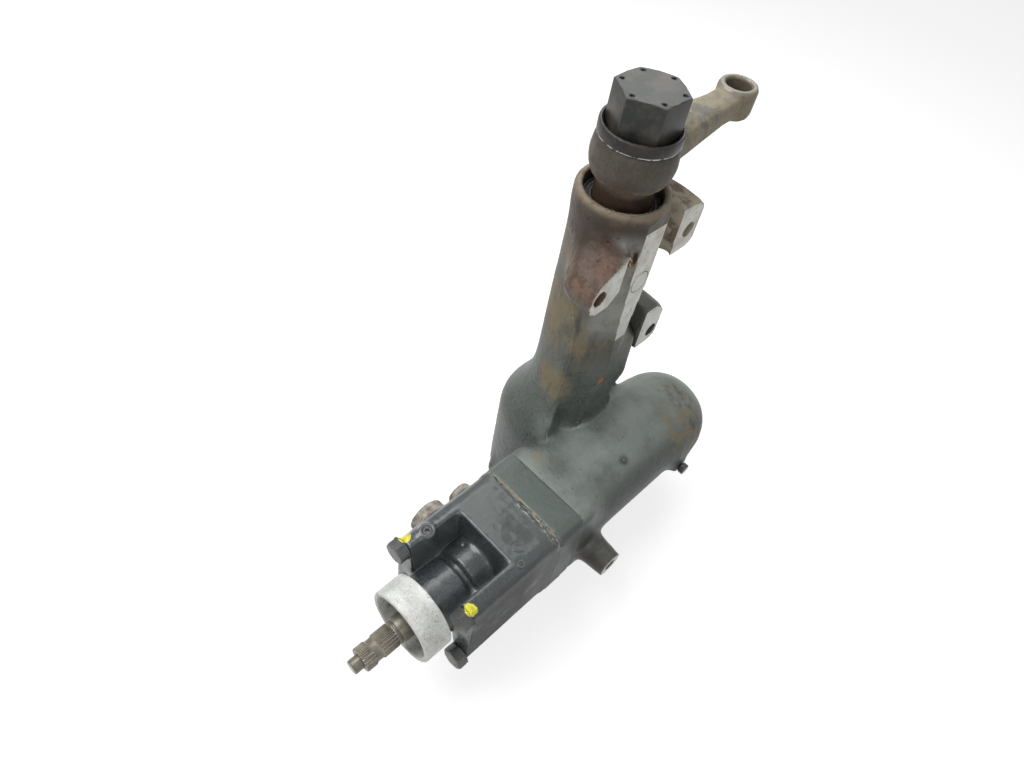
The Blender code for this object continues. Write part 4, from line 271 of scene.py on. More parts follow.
def settle(piece: Piece) -> Piece:
    """Turns a piece's modifiers into its mesh.

    Args:
        piece: The object, with live modifiers.

    Returns:
        The same object, with none left.
    """
    graph = bpy.context.evaluated_depsgraph_get()
    mesh = bpy.data.meshes.new_from_object(piece.evaluated_get(graph))
    piece.modifiers.clear()
    piece.data = mesh
    return piece


def rounded_copy(node: str, width: float = 0.35, angle: float = 28.0, sharp: float = 30.0) -> Piece:
    """A CAD node's copy with its edges rounded.

    Args:
        node: The CAD node.
        width: Width of the rounding in millimetres.
        angle: Edges that bend more than this, in degrees, are rounded.
        sharp: Shading stays sharp above this angle.

    Returns:
        The object.
    """
    piece = merged_copy(node, node + "_piece")
    bevel = piece.modifiers.new("edges", "BEVEL")
    bevel.width = width / 1000
    bevel.segments = 2
    bevel.limit_method = "ANGLE"
    bevel.angle_limit = math.radians(angle)
    bevel.use_clamp_overlap = False
    bpy.context.view_layer.update()
    settle(piece)
    piece.data.shade_smooth()
    piece.data.set_sharp_from_angle(angle=math.radians(sharp))
    return piece


@dataclass(frozen=True)
class Round:
    """A turned form of a casting: its radius by station along an axis, and how many flats the solid has.

    Points up to slack inside the flats and up to proud outside the radius belong to it, once their normal's
    part along the radius is above turn; from full_turn on they are moved the whole way.
    """

    axis: Axis
    centre: Place
    stations: tuple[float, ...]
    radii: tuple[float, ...]
    flats: int = 24
    inward: bool = False
    slack: float = 0.5
    proud: float = 0.35
    turn: float = 0.45
    full_turn: float = 0.75

    def draw(self, points: Array, normals: Array) -> Array:
        """Moves points that lie on the form's flats out to its true circle.

        Args:
            points: Layout millimetres.
            normals: The surface's normals there.

        Returns:
            The moved points.
        """
        along, first, second = self.axis.value
        offset = points - np.array(self.centre)
        reach = np.hypot(offset[:, first], offset[:, second])
        safe = np.maximum(reach, 1e-6)
        facing = (offset[:, first] * normals[:, first] + offset[:, second] * normals[:, second]) / safe
        facing = -facing if self.inward else facing
        radius = np.interp(offset[:, along], self.stations, self.radii)
        first_end, last_end = self.stations[0] - self.slack, self.stations[-1] + self.slack
        inside = (offset[:, along] > first_end) & (offset[:, along] < last_end)
        low = radius * math.cos(math.pi / self.flats) - self.slack
        near = inside & (reach > low) & (reach < radius + self.proud) & (facing > self.turn)
        share = np.where(near, np.clip((facing - self.turn) / (self.full_turn - self.turn), 0, 1), 0)
        scale = 1 + share * (radius / safe - 1)
        moved = points.copy()
        moved[:, first] = self.centre[first] + offset[:, first] * scale
        moved[:, second] = self.centre[second] + offset[:, second] * scale
        return moved


@dataclass(frozen=True)
class Flat:
    """A machined flat: the plane where the layout's axis has this value, facing the given way."""

    axis: int
    value: float
    side: float = 1.0
    reach: float = 1.1
    square: float = 0.85

    def near(self, points: Array, normals: Array) -> Array:
        """Which points belong to the flat."""
        close = np.abs(points[:, self.axis] - self.value) < self.reach
        return close & (normals[:, self.axis] * self.side > self.square)


@dataclass(frozen=True)
class Bore:
    """A bore that keeps its crisp walls: no fillet runs into it."""

    axis: Axis
    centre: Place
    radius: float
    low: float
    high: float

    def holds(self, points: Array) -> Array:
        """Which points lie inside it."""
        along, first, second = self.axis.value
        offset = points - np.array(self.centre)
        reach = np.hypot(offset[:, first], offset[:, second])
        return (reach < self.radius) & (offset[:, along] > self.low) & (offset[:, along] < self.high)


def smooth_step(values: Array, low: float, high: float) -> Array:
    """A smooth step from 0 at low to 1 at high, also where high is below low."""
    share = np.clip((values - low) / (high - low), 0, 1)
    return share * share * (3 - 2 * share)


# The main casting as the solid has it: tube and drum, the flare between them, and the cylinder's cavity.
TUBE_RADIUS = 46.0
DRUM_RADIUS = 78.5
FLARE_TOP = 146.0
FLARE_HEIGHTS = [FLARE_TOP - 80 * drop for drop in (1.0, 0.86, 0.68, 0.47, 0.24)]
FLARE_RADII = [TUBE_RADIUS + 32.5 * share for share in (1.0, 0.72, 0.4, 0.16, 0.04)]
CAVITY_RADIUS = 50.5
CAVITY_END = 143.5


@dataclass(frozen=True)
class Shoulder:
    """The cone from the tube to the drum, which starts lower on the open side than the solid's flare.

    Outer points keep their height; their radius is multiplied by the cone's radius over the solid's.
    """

    stations: tuple[float, ...] = (20, 30, 40, 50, 65, 80, 95, 110, 128, 146)
    radii: tuple[float, ...] = (78.5, 77.2, 72.8, 67.2, 59.2, 53.0, 48.8, 46.9, 46.1, 46.0)
    foot: float = 20.0

    def move(self, points: Array) -> Array:
        """Draws the shoulder in.

        Args:
            points: Layout millimetres.

        Returns:
            The moved points.
        """
        reach = np.hypot(points[:, 0], points[:, 1])
        height = points[:, 2]
        places = [self.foot] + FLARE_HEIGHTS + [FLARE_TOP]
        old = np.interp(height, places, [DRUM_RADIUS] + FLARE_RADII + [TUBE_RADIUS])
        new = np.interp(height, self.stations, self.radii)
        outer = (reach > np.where(height < 46, 63, 44.5)) & (height > self.foot) & (height < FLARE_TOP + 1)
        gate = (1 - smooth_step(reach, old + 1, old + 9)) * smooth_step(points[:, 0], 58, -4) * outer
        scale = 1 + gate * (new / old - 1)
        moved = points.copy()
        moved[:, :2] *= scale[:, None]
        return moved


@dataclass(frozen=True)
class ClosedEnd:
    """The cylinder's closed end, lower on its upper side than the solid's dome.

    The share of the change is a quarter plus three quarters of the height over the distance from the
    axis; the radius loses up to 11 per cent and the reach beyond the swell up to 13 per cent. The hidden
    cavity ends a little earlier, so that the wall keeps its thickness.
    """

    start: float = 60.0
    full: float = 100.0
    slim: float = 0.11
    short: float = 0.13
    inner_end: float = 137.6

    def move(self, points: Array) -> Array:
        """Lowers the end's upper side.

        Args:
            points: Layout millimetres.

        Returns:
            The moved points.
        """
        offset = points - np.array(WORM)
        reach = np.hypot(offset[:, 0], offset[:, 2])
        outer = ((reach > CAVITY_RADIUS) | (points[:, 1] > CAVITY_END)) & (points[:, 1] > self.start) & (reach < 76)
        upper = np.clip(0.25 + 0.75 * offset[:, 2] / np.maximum(reach, 40), 0, 1)
        share = upper * smooth_step(points[:, 1], self.start, self.full) * outer
        moved = points.copy()
        scale = 1 - self.slim * share
        moved[:, 0] = WORM_X + offset[:, 0] * scale
        moved[:, 2] = offset[:, 2] * scale
        moved[:, 1] -= outer * self.short * np.clip(points[:, 1] - 95, 0, None) * (0.35 + 0.65 * upper)
        cavity = (reach <= CAVITY_RADIUS) & (points[:, 1] > self.start) & (points[:, 1] <= CAVITY_END)
        moved[cavity, 1] = np.minimum(moved[cavity, 1], self.inner_end)
        return moved


@dataclass(frozen=True)
class TubeRib:
    """The rib that runs down the tube from the low lug to the cylinder, beside the rail.

    Round its own direction the radius grows by a squared cosine, up to the rib's radius for the height.
    """

    direction: float = 45.0
    spread: float = 31.0
    stations: tuple[float, ...] = (66, 80, 100, 120, 168, 186)
    radii: tuple[float, ...] = (78.5, 73, 66.5, 63.5, 62, 46)

    def move(self, points: Array) -> Array:
        """Raises the rib.

        Args:
            points: Layout millimetres.

        Returns:
            The moved points.
        """
        reach = np.hypot(points[:, 0], points[:, 1])
        turn = np.degrees(np.arctan2(points[:, 1], points[:, 0])) - self.direction
        crest = np.interp(points[:, 2], self.stations, self.radii)
        outer = (reach > TUBE_RADIUS - 1.5) & (reach < crest + 2)
        outer &= (points[:, 2] > self.stations[0]) & (points[:, 2] < self.stations[-1])
        share = np.cos(np.clip(turn / self.spread, -1, 1) * math.pi / 2) ** 2 * outer
        share *= smooth_step(points[:, 2], 74, 116)
        scale = 1 + share * np.clip(crest - reach, 0, None) / np.maximum(reach, 1)
        moved = points.copy()
        moved[:, :2] *= scale[:, None]
        return moved


def vertex_normals(points: Array, faces: Array) -> Array:
    """The area-weighted normal of each point: the sum of its quads' diagonal products."""
    first = points[faces[:, 2]] - points[faces[:, 0]]
    second = points[faces[:, 3]] - points[faces[:, 1]]
    product = np.cross(first, second)
    total = np.zeros_like(points)
    for k in range(3):
        flow = np.repeat(product[:, k], 4)
        total[:, k] = np.bincount(faces.reshape(-1), flow, len(points))
    return total / np.maximum(np.linalg.norm(total, axis=1, keepdims=True), 1e-12)


def waviness(points: Array, seed: int, low: float, high: float, count: int = 26) -> Array:
    """A gentle unevenness: the mean of plane waves with random directions and wavelengths.

    Args:
        points: Layout millimetres.
        seed: Seed of the directions.
        low: Shortest wavelength in millimetres.
        high: Longest wavelength.
        count: Number of waves.

    Returns:
        A height for each point, about from -1 to 1.
    """
    chance = np.random.default_rng(seed)
    ways = chance.normal(size=(count, 3))
    ways /= np.linalg.norm(ways, axis=1, keepdims=True)
    length = chance.uniform(low, high, count)
    phase = chance.uniform(0, 2 * math.pi, count)
    waves = np.sin(points @ (ways * (2 * math.pi / length)[:, None]).T + phase)
    return waves.sum(axis=1) / math.sqrt(count)


# One step of a skin moves a point by such a share of the way to its neighbours' mean. A fillet's step counts
# from the least lift in millimetres, and the normals are found anew every few steps.
FILLET_SHARE = 0.9
EASE_SHARE = 0.5
SOFT_SHARE = 0.6
LEAST_LIFT = 0.003
NORMALS_EVERY = 4


@dataclass
class CastSkin:
    """A casting's skin: the solid's surface meshed evenly, with fillets run into its corners.

    The mean of a point's neighbours lies outside the surface in a hollow. Moving each point along its
    normal towards that mean, only where it lies outside, fills the hollows with fillets; a few plain
    steps ease the ridges. Machined flats and bores are held, and turned forms drawn out to true circles.
    """

    node: str
    voxel: float
    fillet_steps: int
    ease_steps: int
    swell: float
    seed: int
    rounds: tuple[Round, ...] = ()
    flats: tuple[Flat, ...] = ()
    bores: tuple[Bore, ...] = ()
    warps: tuple[Shoulder | ClosedEnd | TubeRib, ...] = ()
    wide_above: float = 1e6
    wide_steps: int = 0
    soft: tuple[tuple[float, float, int], ...] = ()

    def build(self) -> Piece:
        """The skin as an object.

        Returns:
            The object, with smooth shading.
        """
        piece = merged_copy(self.node, self.node + "_skin", flat=False)
        remesh = piece.modifiers.new("even", "REMESH")
        remesh.mode = "VOXEL"
        remesh.voxel_size = self.voxel / 1000
        remesh.adaptivity = 0.0
        bpy.context.view_layer.update()
        settle(piece)
        mesh = piece.data
        edges = np.zeros(len(mesh.edges) * 2, np.int32)
        mesh.edges.foreach_get("vertices", edges)
        faces = np.zeros(len(mesh.loops), np.int32)
        mesh.loops.foreach_get("vertex_index", faces)
        write_points(piece, self.shape(read_points(piece), edges.reshape(-1, 2), faces.reshape(-1, 4)))
        mesh.shade_smooth()
        mesh.set_sharp_from_angle(angle=math.radians(50))
        return piece

    @staticmethod
    def drift(points: Array, ends: Array, count: Array) -> Array:
        """The way from each point to the mean of its neighbours."""
        mean = np.stack([np.bincount(ends[:, 0], points[ends[:, 1], k], len(points)) for k in range(3)], 1)
        return mean / np.maximum(count, 1)[:, None] - points

    def shape(self, points: Array, edges: Array, faces: Array) -> Array:
        """Runs the fillets, eases the ridges and draws the machined and turned forms.

        Args:
            points: Layout millimetres.
            edges: Point numbers of each edge.
            faces: Point numbers of each quad.

        Returns:
            The shaped points.
        """
        normals = vertex_normals(points, faces)
        held = np.zeros(len(points), bool)
        for bore in self.bores:
            held |= bore.holds(points)
        on_flat = [flat.near(points, normals) for flat in self.flats]
        for near in on_flat:
            held |= near
        free = np.where(held, 0.0, 1.0)
        count = np.bincount(edges.reshape(-1), minlength=len(points)).astype(float)
        ends = np.concatenate([edges, edges[:, ::-1]])
        for form in self.rounds:
            points = form.draw(points, normals)
        for warp in self.warps:
            points = warp.move(points)
        wide = smooth_step(points[:, 2], self.wide_above, self.wide_above + 45)
        for step in range(self.wide_steps + self.fillet_steps + self.ease_steps):
            if step % NORMALS_EVERY == 0:
                normals = vertex_normals(points, faces)
            pull = self.drift(points, ends, count)
            if step < self.wide_steps + self.fillet_steps:
                lift = np.clip((pull * normals).sum(axis=1) - LEAST_LIFT, 0, None)
                share = free * (wide if step < self.wide_steps else 1.0)
                points = points + normals * (lift * share * FILLET_SHARE)[:, None]
            else:
                points = points + pull * (free * EASE_SHARE)[:, None]
        for low, high, steps in self.soft:
            share = free * smooth_step(points[:, 2], low - 12, low) * smooth_step(points[:, 2], high + 12, high)
            for _ in range(steps):
                points = points + self.drift(points, ends, count) * (share * SOFT_SHARE)[:, None]
        normals = vertex_normals(points, faces)
        for flat, near in zip(self.flats, on_flat):
            points[near, flat.axis] = flat.value
        ripple = waviness(points, self.seed, 9.0, 34.0) * self.swell
        return points - normals * (np.abs(ripple) * free)[:, None]


def dress(piece: Piece, body: Body, slot: Slot, *finishes: Material) -> None:
    """Gives a piece its materials and the body that it rides on.

    Args:
        piece: The finished piece.
        body: The body it moves with.
        slot: The record's slot that it takes its finish from; not used.
        finishes: Its materials, the first one for its first slot.
    """
    piece.data.materials.clear()
    for finish in finishes:
        piece.data.materials.append(finish)
    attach(piece, body.value)
    LOG.info("%s: %d faces on %s", piece.name, len(piece.data.polygons), body.value)


def assign(piece: Piece, choose: Array, index: int) -> None:
    """Sets the material number of some faces.

    Args:
        piece: The piece.
        choose: True for each face that changes.
        index: The material's place among the piece's materials.
    """
    numbers = np.zeros(len(piece.data.polygons), np.int32)
    piece.data.polygons.foreach_get("material_index", numbers)
    numbers[choose] = index
    piece.data.polygons.foreach_set("material_index", numbers)
    piece.data.update()


def face_places(piece: Piece) -> tuple[Array, Array]:
    """The centre of each face in layout millimetres, and its normal."""
    centres = np.zeros(len(piece.data.polygons) * 3)
    normals = np.zeros(len(piece.data.polygons) * 3)
    piece.data.polygons.foreach_get("center", centres)
    piece.data.polygons.foreach_get("normal", normals)
    return LAYOUT.local(centres.reshape(-1, 3)), normals.reshape(-1, 3)


# Node trees


class Graph:
    """A material's or a group's node tree, with short calls for the nodes that this file uses."""

    def __init__(self, tree: Tree) -> None:
        """Keeps the tree."""
        self.tree = tree

    def feed(self, socket: Socket, value: object) -> None:
        """Links a socket to another, or sets its plain value."""
        if isinstance(value, Socket):
            self.tree.links.new(value, socket)
        else:
            socket.default_value = value

    def add(self, kind: str, inputs: dict | None = None, **settings: object) -> bpy.types.Node:
        """A new node.

        Args:
            kind: The node's type.
            inputs: Socket names or numbers, with a value or a socket for each.
            settings: The node's own settings.

        Returns:
            The node.
        """
        node = self.tree.nodes.new(kind)
        for name, value in settings.items():
            setattr(node, name, value)
        for name, value in (inputs or {}).items():
            self.feed(node.inputs[name], value)
        return node

    def math(self, operation: str, first: object, second: object = 0.0) -> Socket:
        """The result of one sum."""
        return self.add("ShaderNodeMath", {0: first, 1: second}, operation=operation).outputs[0]

    def plus(self, first: object, second: object) -> Socket:
        """The sum of two."""
        return self.math("ADD", first, second)

    def minus(self, first: object, second: object) -> Socket:
        """The first less the second."""
        return self.math("SUBTRACT", first, second)

    def times(self, first: object, second: object) -> Socket:
        """The product of two."""
        return self.math("MULTIPLY", first, second)

    def invert(self, value: object) -> Socket:
        """What is left to 1."""
        return self.math("SUBTRACT", 1.0, value)

    def vector(self, operation: str, first: object, second: object) -> Socket:
        """The number that comes of two vectors."""
        return self.add("ShaderNodeVectorMath", {0: first, 1: second}, operation=operation).outputs["Value"]

    def step(self, value: Socket, low: object, high: object) -> Socket:
        """A smooth step from 0 at low to 1 at high, also where high is below low."""
        if isinstance(low, (int, float)) and isinstance(high, (int, float)) and high < low:
            return self.invert(self.step(value, high, low))
        node = self.add(
            "ShaderNodeMapRange",
            {"Value": value, "From Min": low, "From Max": high},
            interpolation_type="SMOOTHSTEP",
        )
        return node.outputs[0]

    def mix(self, share: object, first: object, second: object) -> Socket:
        """A colour between two."""
        return self.add("ShaderNodeMix", {0: share, 6: first, 7: second}, data_type="RGBA").outputs[2]

    def blend(self, share: object, first: object, second: object) -> Socket:
        """A number between two."""
        return self.add("ShaderNodeMix", {0: share, 2: first, 3: second}, data_type="FLOAT").outputs[0]

    def noise(self, vector: Socket, scale: object, detail: float = 4.0, rough: float = 0.55) -> Socket:
        """A noise from 0 to 1."""
        inputs = {"Vector": vector, "Scale": scale, "Detail": detail, "Roughness": rough}
        return self.add("ShaderNodeTexNoise", inputs).outputs[0]

    def group(self, tree: Tree, inputs: dict) -> Socket:
        """The first output of a placed group.

        Args:
            tree: The group's tree.
            inputs: Socket names, with a value or a socket for each.

        Returns:
            Its output.
        """
        node = self.tree.nodes.new("ShaderNodeGroup")
        node.node_tree = tree
        for name, value in inputs.items():
            self.feed(node.inputs[name], value)
        return node.outputs[0]


def start_group(name: str, output: str, **sockets: object) -> tuple[Graph, dict[str, Socket], Socket]:
    """An empty node group for an effect that several materials share.

    Args:
        name: The group's name.
        output: Name of its one output.
        sockets: The first value of each further input; a triple makes a vector, a number a float.

    Returns:
        Its graph, its inputs by name, and the output's socket.
    """
    tree = bpy.data.node_groups.new(name, "ShaderNodeTree")
    for label, value in ({"Vector": (0, 0, 0)} | sockets).items():
        kind = "Vector" if isinstance(value, tuple) else "Float"
        tree.interface.new_socket(label, in_out="INPUT", socket_type="NodeSocket" + kind).default_value = value
    tree.interface.new_socket(output, in_out="OUTPUT", socket_type="NodeSocketFloat")
    entry = tree.nodes.new("NodeGroupInput").outputs
    leave = tree.nodes.new("NodeGroupOutput")
    given = {label: entry[label] for label in ("Vector", *sockets)}
    return Graph(tree), given, leave.inputs[output]


@cache
def blotches() -> Tree:
    """Patches with soft edges: a noise cut at a level that leaves the wanted cover."""
    graph, given, out = start_group("blotches", "Mask", Scale=40.0, Cover=0.4, Softness=0.08)
    noise = graph.noise(given["Vector"], given["Scale"], 6.0, 0.62)
    level = graph.minus(0.68, graph.times(given["Cover"], 0.36))
    low = graph.minus(level, given["Softness"])
    graph.feed(out, graph.step(noise, low, graph.plus(level, given["Softness"])))
    return graph.tree


@cache
def cast_grain() -> Tree:
    """The height of a sand-cast skin: fine and middle noise, less scattered pits."""
    graph, given, out = start_group("cast_grain", "Height", Scale=700.0, Pits=0.5)
    fine = graph.noise(given["Vector"], given["Scale"], 3.0, 0.6)
    coarse = graph.noise(given["Vector"], graph.times(given["Scale"], 0.28), 3.0, 0.5)
    inputs = {"Vector": given["Vector"], "Scale": graph.times(given["Scale"], 0.45)}
    cells = graph.add("ShaderNodeTexVoronoi", inputs, feature="F1").outputs["Distance"]
    rare = graph.step(graph.noise(given["Vector"], 90.0, 2.0), 0.5, 0.62)
    pit = graph.times(graph.times(graph.invert(graph.step(cells, 0.05, 0.32)), rare), given["Pits"])
    height = graph.plus(graph.times(fine, 0.45), graph.times(coarse, 0.9))
    graph.feed(out, graph.minus(height, pit))
    return graph.tree


@cache
def worn_edges() -> Tree:
    """Edges where the finish is rubbed through: where a rounded normal leaves the true one, broken by noise."""
    graph, given, out = start_group("worn_edges", "Mask", Radius=0.001, Cover=0.5)
    soft = graph.add("ShaderNodeBevel", {"Radius": given["Radius"]}, samples=6).outputs[0]
    true = graph.add("ShaderNodeNewGeometry").outputs["Normal"]
    edge = graph.step(graph.invert(graph.vector("DOT_PRODUCT", soft, true)), 0.015, 0.11)
    level = graph.minus(0.75, graph.times(given["Cover"], 0.5))
    gate = graph.step(graph.noise(given["Vector"], 260.0, 4.0, 0.6), level, graph.plus(level, 0.07))
    graph.feed(out, graph.times(edge, gate))
    return graph.tree


@cache
def scratches() -> Tree:
    """Short scratches: a noise drawn out along one way and cut high."""
    graph, given, out = start_group("scratches", "Mask", Scale=120.0, Cover=0.3)
    inputs = {"Vector": given["Vector"], "Rotation": (0.5, 0.4, 0.7), "Scale": (1, 7, 2.4)}
    bent = graph.add("ShaderNodeMapping", inputs).outputs[0]
    level = graph.minus(0.79, graph.times(given["Cover"], 0.3))
    graph.feed(out, graph.step(graph.noise(bent, given["Scale"], 3.0, 0.7), level, graph.plus(level, 0.03)))
    return graph.tree


@cache
def ragged_spot() -> Tree:
    """A round area with a ragged edge."""
    graph, given, out = start_group("spot", "Mask", Centre=(0, 0, 0), Radius=0.01, Softness=0.003)
    gap = graph.vector("DISTANCE", given["Vector"], given["Centre"])
    stir = graph.minus(graph.noise(given["Vector"], 160.0, 4.0, 0.6), 0.5)
    gap = graph.plus(gap, graph.times(stir, graph.times(given["Softness"], 2.4)))
    low = graph.minus(given["Radius"], given["Softness"])
    graph.feed(out, graph.invert(graph.step(gap, low, graph.plus(given["Radius"], given["Softness"]))))
    return graph.tree


# Areas of a mark


class Area:
    """Where a mark lies. The plain area is everywhere."""

    def mask(self, graph: Graph, coords: Socket) -> Socket | float:
        """The area's mask, from 0 outside to 1 inside."""
        return 1.0

    def __and__(self, other: "Area") -> "Both":
        """Where both areas lie."""
        return Both(self, other)


@dataclass(frozen=True)
class Spot(Area):
    """Round one place, given in layout millimetres."""

    centre: Place
    radius: float
    softness: float = 3.0

    def mask(self, graph: Graph, coords: Socket) -> Socket:
        """The ragged disc round the place."""
        inputs = {"Vector": coords, "Centre": LAYOUT.at(*self.centre)}
        inputs |= {"Radius": self.radius / 1000, "Softness": self.softness / 1000}
        return graph.group(ragged_spot(), inputs)


@dataclass(frozen=True)
class Band(Area):
    """A smooth step along an axis: 0 at start and 1 at end, in layout millimetres."""

    axis: int
    start: float
    end: float

    def mask(self, graph: Graph, coords: Socket) -> Socket:
        """The step, also where end is below start."""
        parts = graph.add("ShaderNodeSeparateXYZ", {0: coords})
        place = [0.0, 0.0, 0.0]
        place[self.axis] = min(self.start, self.end)
        low = LAYOUT.at(*place)[self.axis]
        high = low + abs(self.end - self.start) / 1000
        rise = graph.step(parts.outputs[self.axis], low, high)
        return rise if self.end > self.start else graph.invert(rise)


@dataclass(frozen=True)
class Facing(Area):
    """Where the surface faces one way."""

    axis: int
    side: float = 1.0
    low: float = 0.4
    high: float = 0.8

    def mask(self, graph: Graph, coords: Socket) -> Socket:
        """The step of the normal's part along the axis."""
        normal = graph.add("ShaderNodeNewGeometry").outputs["Normal"]
        part = graph.add("ShaderNodeSeparateXYZ", {0: normal}).outputs[self.axis]
        return graph.step(graph.times(part, self.side), self.low, self.high)


@dataclass(frozen=True)
class Hoop(Area):
    """A thin ring line round an axis, or a disc where the width is as large as the radius."""

    axis: Axis
    centre: Place
    radius: float
    width: float

    def mask(self, graph: Graph, coords: Socket) -> Socket:
        """The line at the radius from the axis."""
        _, first, second = self.axis.value
        here = LAYOUT.at(*self.centre)
        parts = graph.add("ShaderNodeSeparateXYZ", {0: coords})
        u = graph.minus(parts.outputs[first], here[first])
        v = graph.minus(parts.outputs[second], here[second])
        reach = graph.math("SQRT", graph.plus(graph.times(u, u), graph.times(v, v)))
        off = graph.math("ABSOLUTE", graph.minus(reach, self.radius / 1000))
        half = self.width / 2000
        return graph.invert(graph.step(off, half * 0.6, half * 1.4))


@dataclass(frozen=True)
class Edges(Area):
    """Along the edges of a piece."""

    radius: float = 1.0
    cover: float = 0.5

    def mask(self, graph: Graph, coords: Socket) -> Socket:
        """The rubbed edges."""
        inputs = {"Vector": coords, "Radius": self.radius / 1000, "Cover": self.cover}
        return graph.group(worn_edges(), inputs)


@dataclass(frozen=True)
class Crest(Area):
    """Ridges of a finely meshed skin, or its hollows where the side is negative."""

    side: float = 1.0
    low: float = 0.02
    high: float = 0.07

    def mask(self, graph: Graph, coords: Socket) -> Socket:
        """The step of the surface's pointiness."""
        point = graph.add("ShaderNodeNewGeometry").outputs["Pointiness"]
        off = graph.times(graph.minus(point, 0.5), self.side)
        return graph.step(off, self.low, self.high)


@dataclass(frozen=True)
class Both(Area):
    """Where two areas lie."""

    first: Area
    second: Area

    def mask(self, graph: Graph, coords: Socket) -> Socket:
        """The product of the masks."""
        return graph.times(self.first.mask(graph, coords), self.second.mask(graph, coords))


class Pattern(Enum):
    """How a mark is broken up."""

    BLOTCHES = "blotches"
    SCRATCHES = "scratches"
    FULL = "full"


@dataclass(frozen=True)
class Mark:
    """Something on a surface: rust, grime, chips, dust, or painted light and shade. It has a colour, a cover and an
    area.
    """

    colour: Seen
    cover: float = 0.4
    scale: float = 45.0
    softness: float = 0.08
    roughness: float | None = None
    metallic: float | None = None
    strength: float = 1.0
    relief: float = 0.0
    area: Area = Area()
    pattern: Pattern = Pattern.BLOTCHES
    stretch: Place = (1.0, 1.0, 1.0)

    def mask(self, graph: Graph, coords: Socket) -> Socket:
        """The mark's mask: its pattern inside its area, times its strength."""
        where = self.area.mask(graph, coords)
        vector = coords
        if self.stretch != (1.0, 1.0, 1.0):
            vector = graph.add("ShaderNodeMapping", {"Vector": coords, "Scale": self.stretch}).outputs[0]
        inputs = {"Vector": vector, "Scale": self.scale, "Cover": self.cover}
        if self.pattern is Pattern.BLOTCHES:
            pattern = graph.group(blotches(), inputs | {"Softness": self.softness})
        elif self.pattern is Pattern.SCRATCHES:
            pattern = graph.group(scratches(), inputs)
        else:
            pattern = 1.0
        return graph.times(graph.times(where, pattern), self.strength)


@dataclass(frozen=True)
class Finish:
    """One finish: a mottled ground, its gloss and grain, and the marks on it, laid one over the other."""

    name: str
    ground: Seen
    mottle: Seen
    roughness: float = 0.5
    metallic: float = 0.0
    mottle_scale: float = 38.0
    spread: float = 0.12
    grain: float = 700.0
    depth: float = 0.12
    pits: float = 0.4
    coat: float = 0.0
    coat_roughness: float = 0.2
    coat_area: Area = Area()
    specular: float = 0.5
    fleck: float = 0.5
    marks: tuple[Mark, ...] = ()

    def build(self) -> Material:
        """The material.

        Returns:
            A material with its own Principled shader.
        """
        material = bpy.data.materials.new(self.name)
        material.use_nodes = True
        graph = Graph(material.node_tree)
        shader = material.node_tree.nodes["Principled BSDF"]
        coords = graph.add("ShaderNodeTexCoord").outputs["Object"]
        soft = graph.step(graph.noise(coords, self.mottle_scale, 6.0, 0.6), 0.34, 0.68)
        small = graph.noise(coords, self.grain, 3.0, 0.65)
        ground = paint(self.ground)
        colour = graph.mix(soft, ground, paint(self.mottle))
        dark = (*(0.5 * part for part in ground[:3]), 1.0)
        light = (*(min(1.0, 1.55 * part + 0.01) for part in ground[:3]), 1.0)
        colour = graph.mix(graph.times(graph.step(small, 0.5, 0.36), self.fleck), colour, dark)
        colour = graph.mix(graph.times(graph.step(small, 0.54, 0.7), self.fleck), colour, light)
        rough = graph.plus(self.roughness - self.spread / 2, graph.times(small, self.spread))
        metal: Socket | float = self.metallic
        inputs = {"Vector": coords, "Scale": self.grain, "Pits": self.pits}
        height = graph.times(graph.group(cast_grain(), inputs), self.depth)
        for mark in self.marks:
            mask = mark.mask(graph, coords)
            colour = graph.mix(mask, colour, paint(mark.colour))
            if mark.roughness is not None:
                rough = graph.blend(mask, rough, mark.roughness)
            if mark.metallic is not None:
                metal = graph.blend(mask, metal, mark.metallic)
            if mark.relief:
                height = graph.plus(height, graph.times(mask, mark.relief))
        graph.feed(shader.inputs["Base Color"], colour)
        graph.feed(shader.inputs["Roughness"], rough)
        graph.feed(shader.inputs["Metallic"], metal)
        shader.inputs["Specular IOR Level"].default_value = self.specular
        graph.feed(shader.inputs["Coat Weight"], graph.times(self.coat_area.mask(graph, coords), self.coat))
        shader.inputs["Coat Roughness"].default_value = self.coat_roughness
        bump = graph.add("ShaderNodeBump", {"Strength": 1.0, "Distance": 0.001, "Height": height})
        graph.feed(shader.inputs["Normal"], bump.outputs[0])
        return material


# Colours that several finishes share

RUST = (92, 74, 60)
DEEP_RUST = (50, 35, 25)
ORANGE = (158, 96, 52)
TAN = (120, 110, 86)
CRUST = (150, 138, 116)
BARE = (196, 198, 194)

# Areas that several marks share

TUBE = Band(2, 120, 190)
HUB = Hoop(Axis.Z, SECTOR, 0, 92)
CUP_INSIDE = Hoop(Axis.Y, WORM, 0, 79) & Band(1, -305, -312)


def nut_dot(number: int) -> Place:
    """Where one of the six punch marks lies on the nut's top."""
    angle = math.radians(28 + 60 * number)
    return (27.6 * math.cos(angle), 27.6 * math.sin(angle), 465)


def scratched(cover: float, scale: float, roughness: float = 0.35, **rest: object) -> Mark:
    """Scratches down to bare metal."""
    return Mark(BARE, cover, scale, roughness=roughness, pattern=Pattern.SCRATCHES, **rest)


def unbroken(colour: Seen, roughness: float, area: Area, **rest: object) -> Mark:
    """A mark that fills its area."""
    return Mark(colour, roughness=roughness, area=area, pattern=Pattern.FULL, **rest)


def plain(name: str, ground: Seen, mottle: Seen, roughness: float, metallic: float) -> Finish:
    """A finish for the pieces that the castings hide."""
    marks = (Mark((86, 82, 74), 0.3, 70, 0.1, 0.55, strength=0.4), scratched(0.08, 150, 0.3, strength=0.5))
    return Finish(name, ground, mottle, roughness, metallic, 60, grain=1300, depth=0.04, pits=0.2, marks=marks)


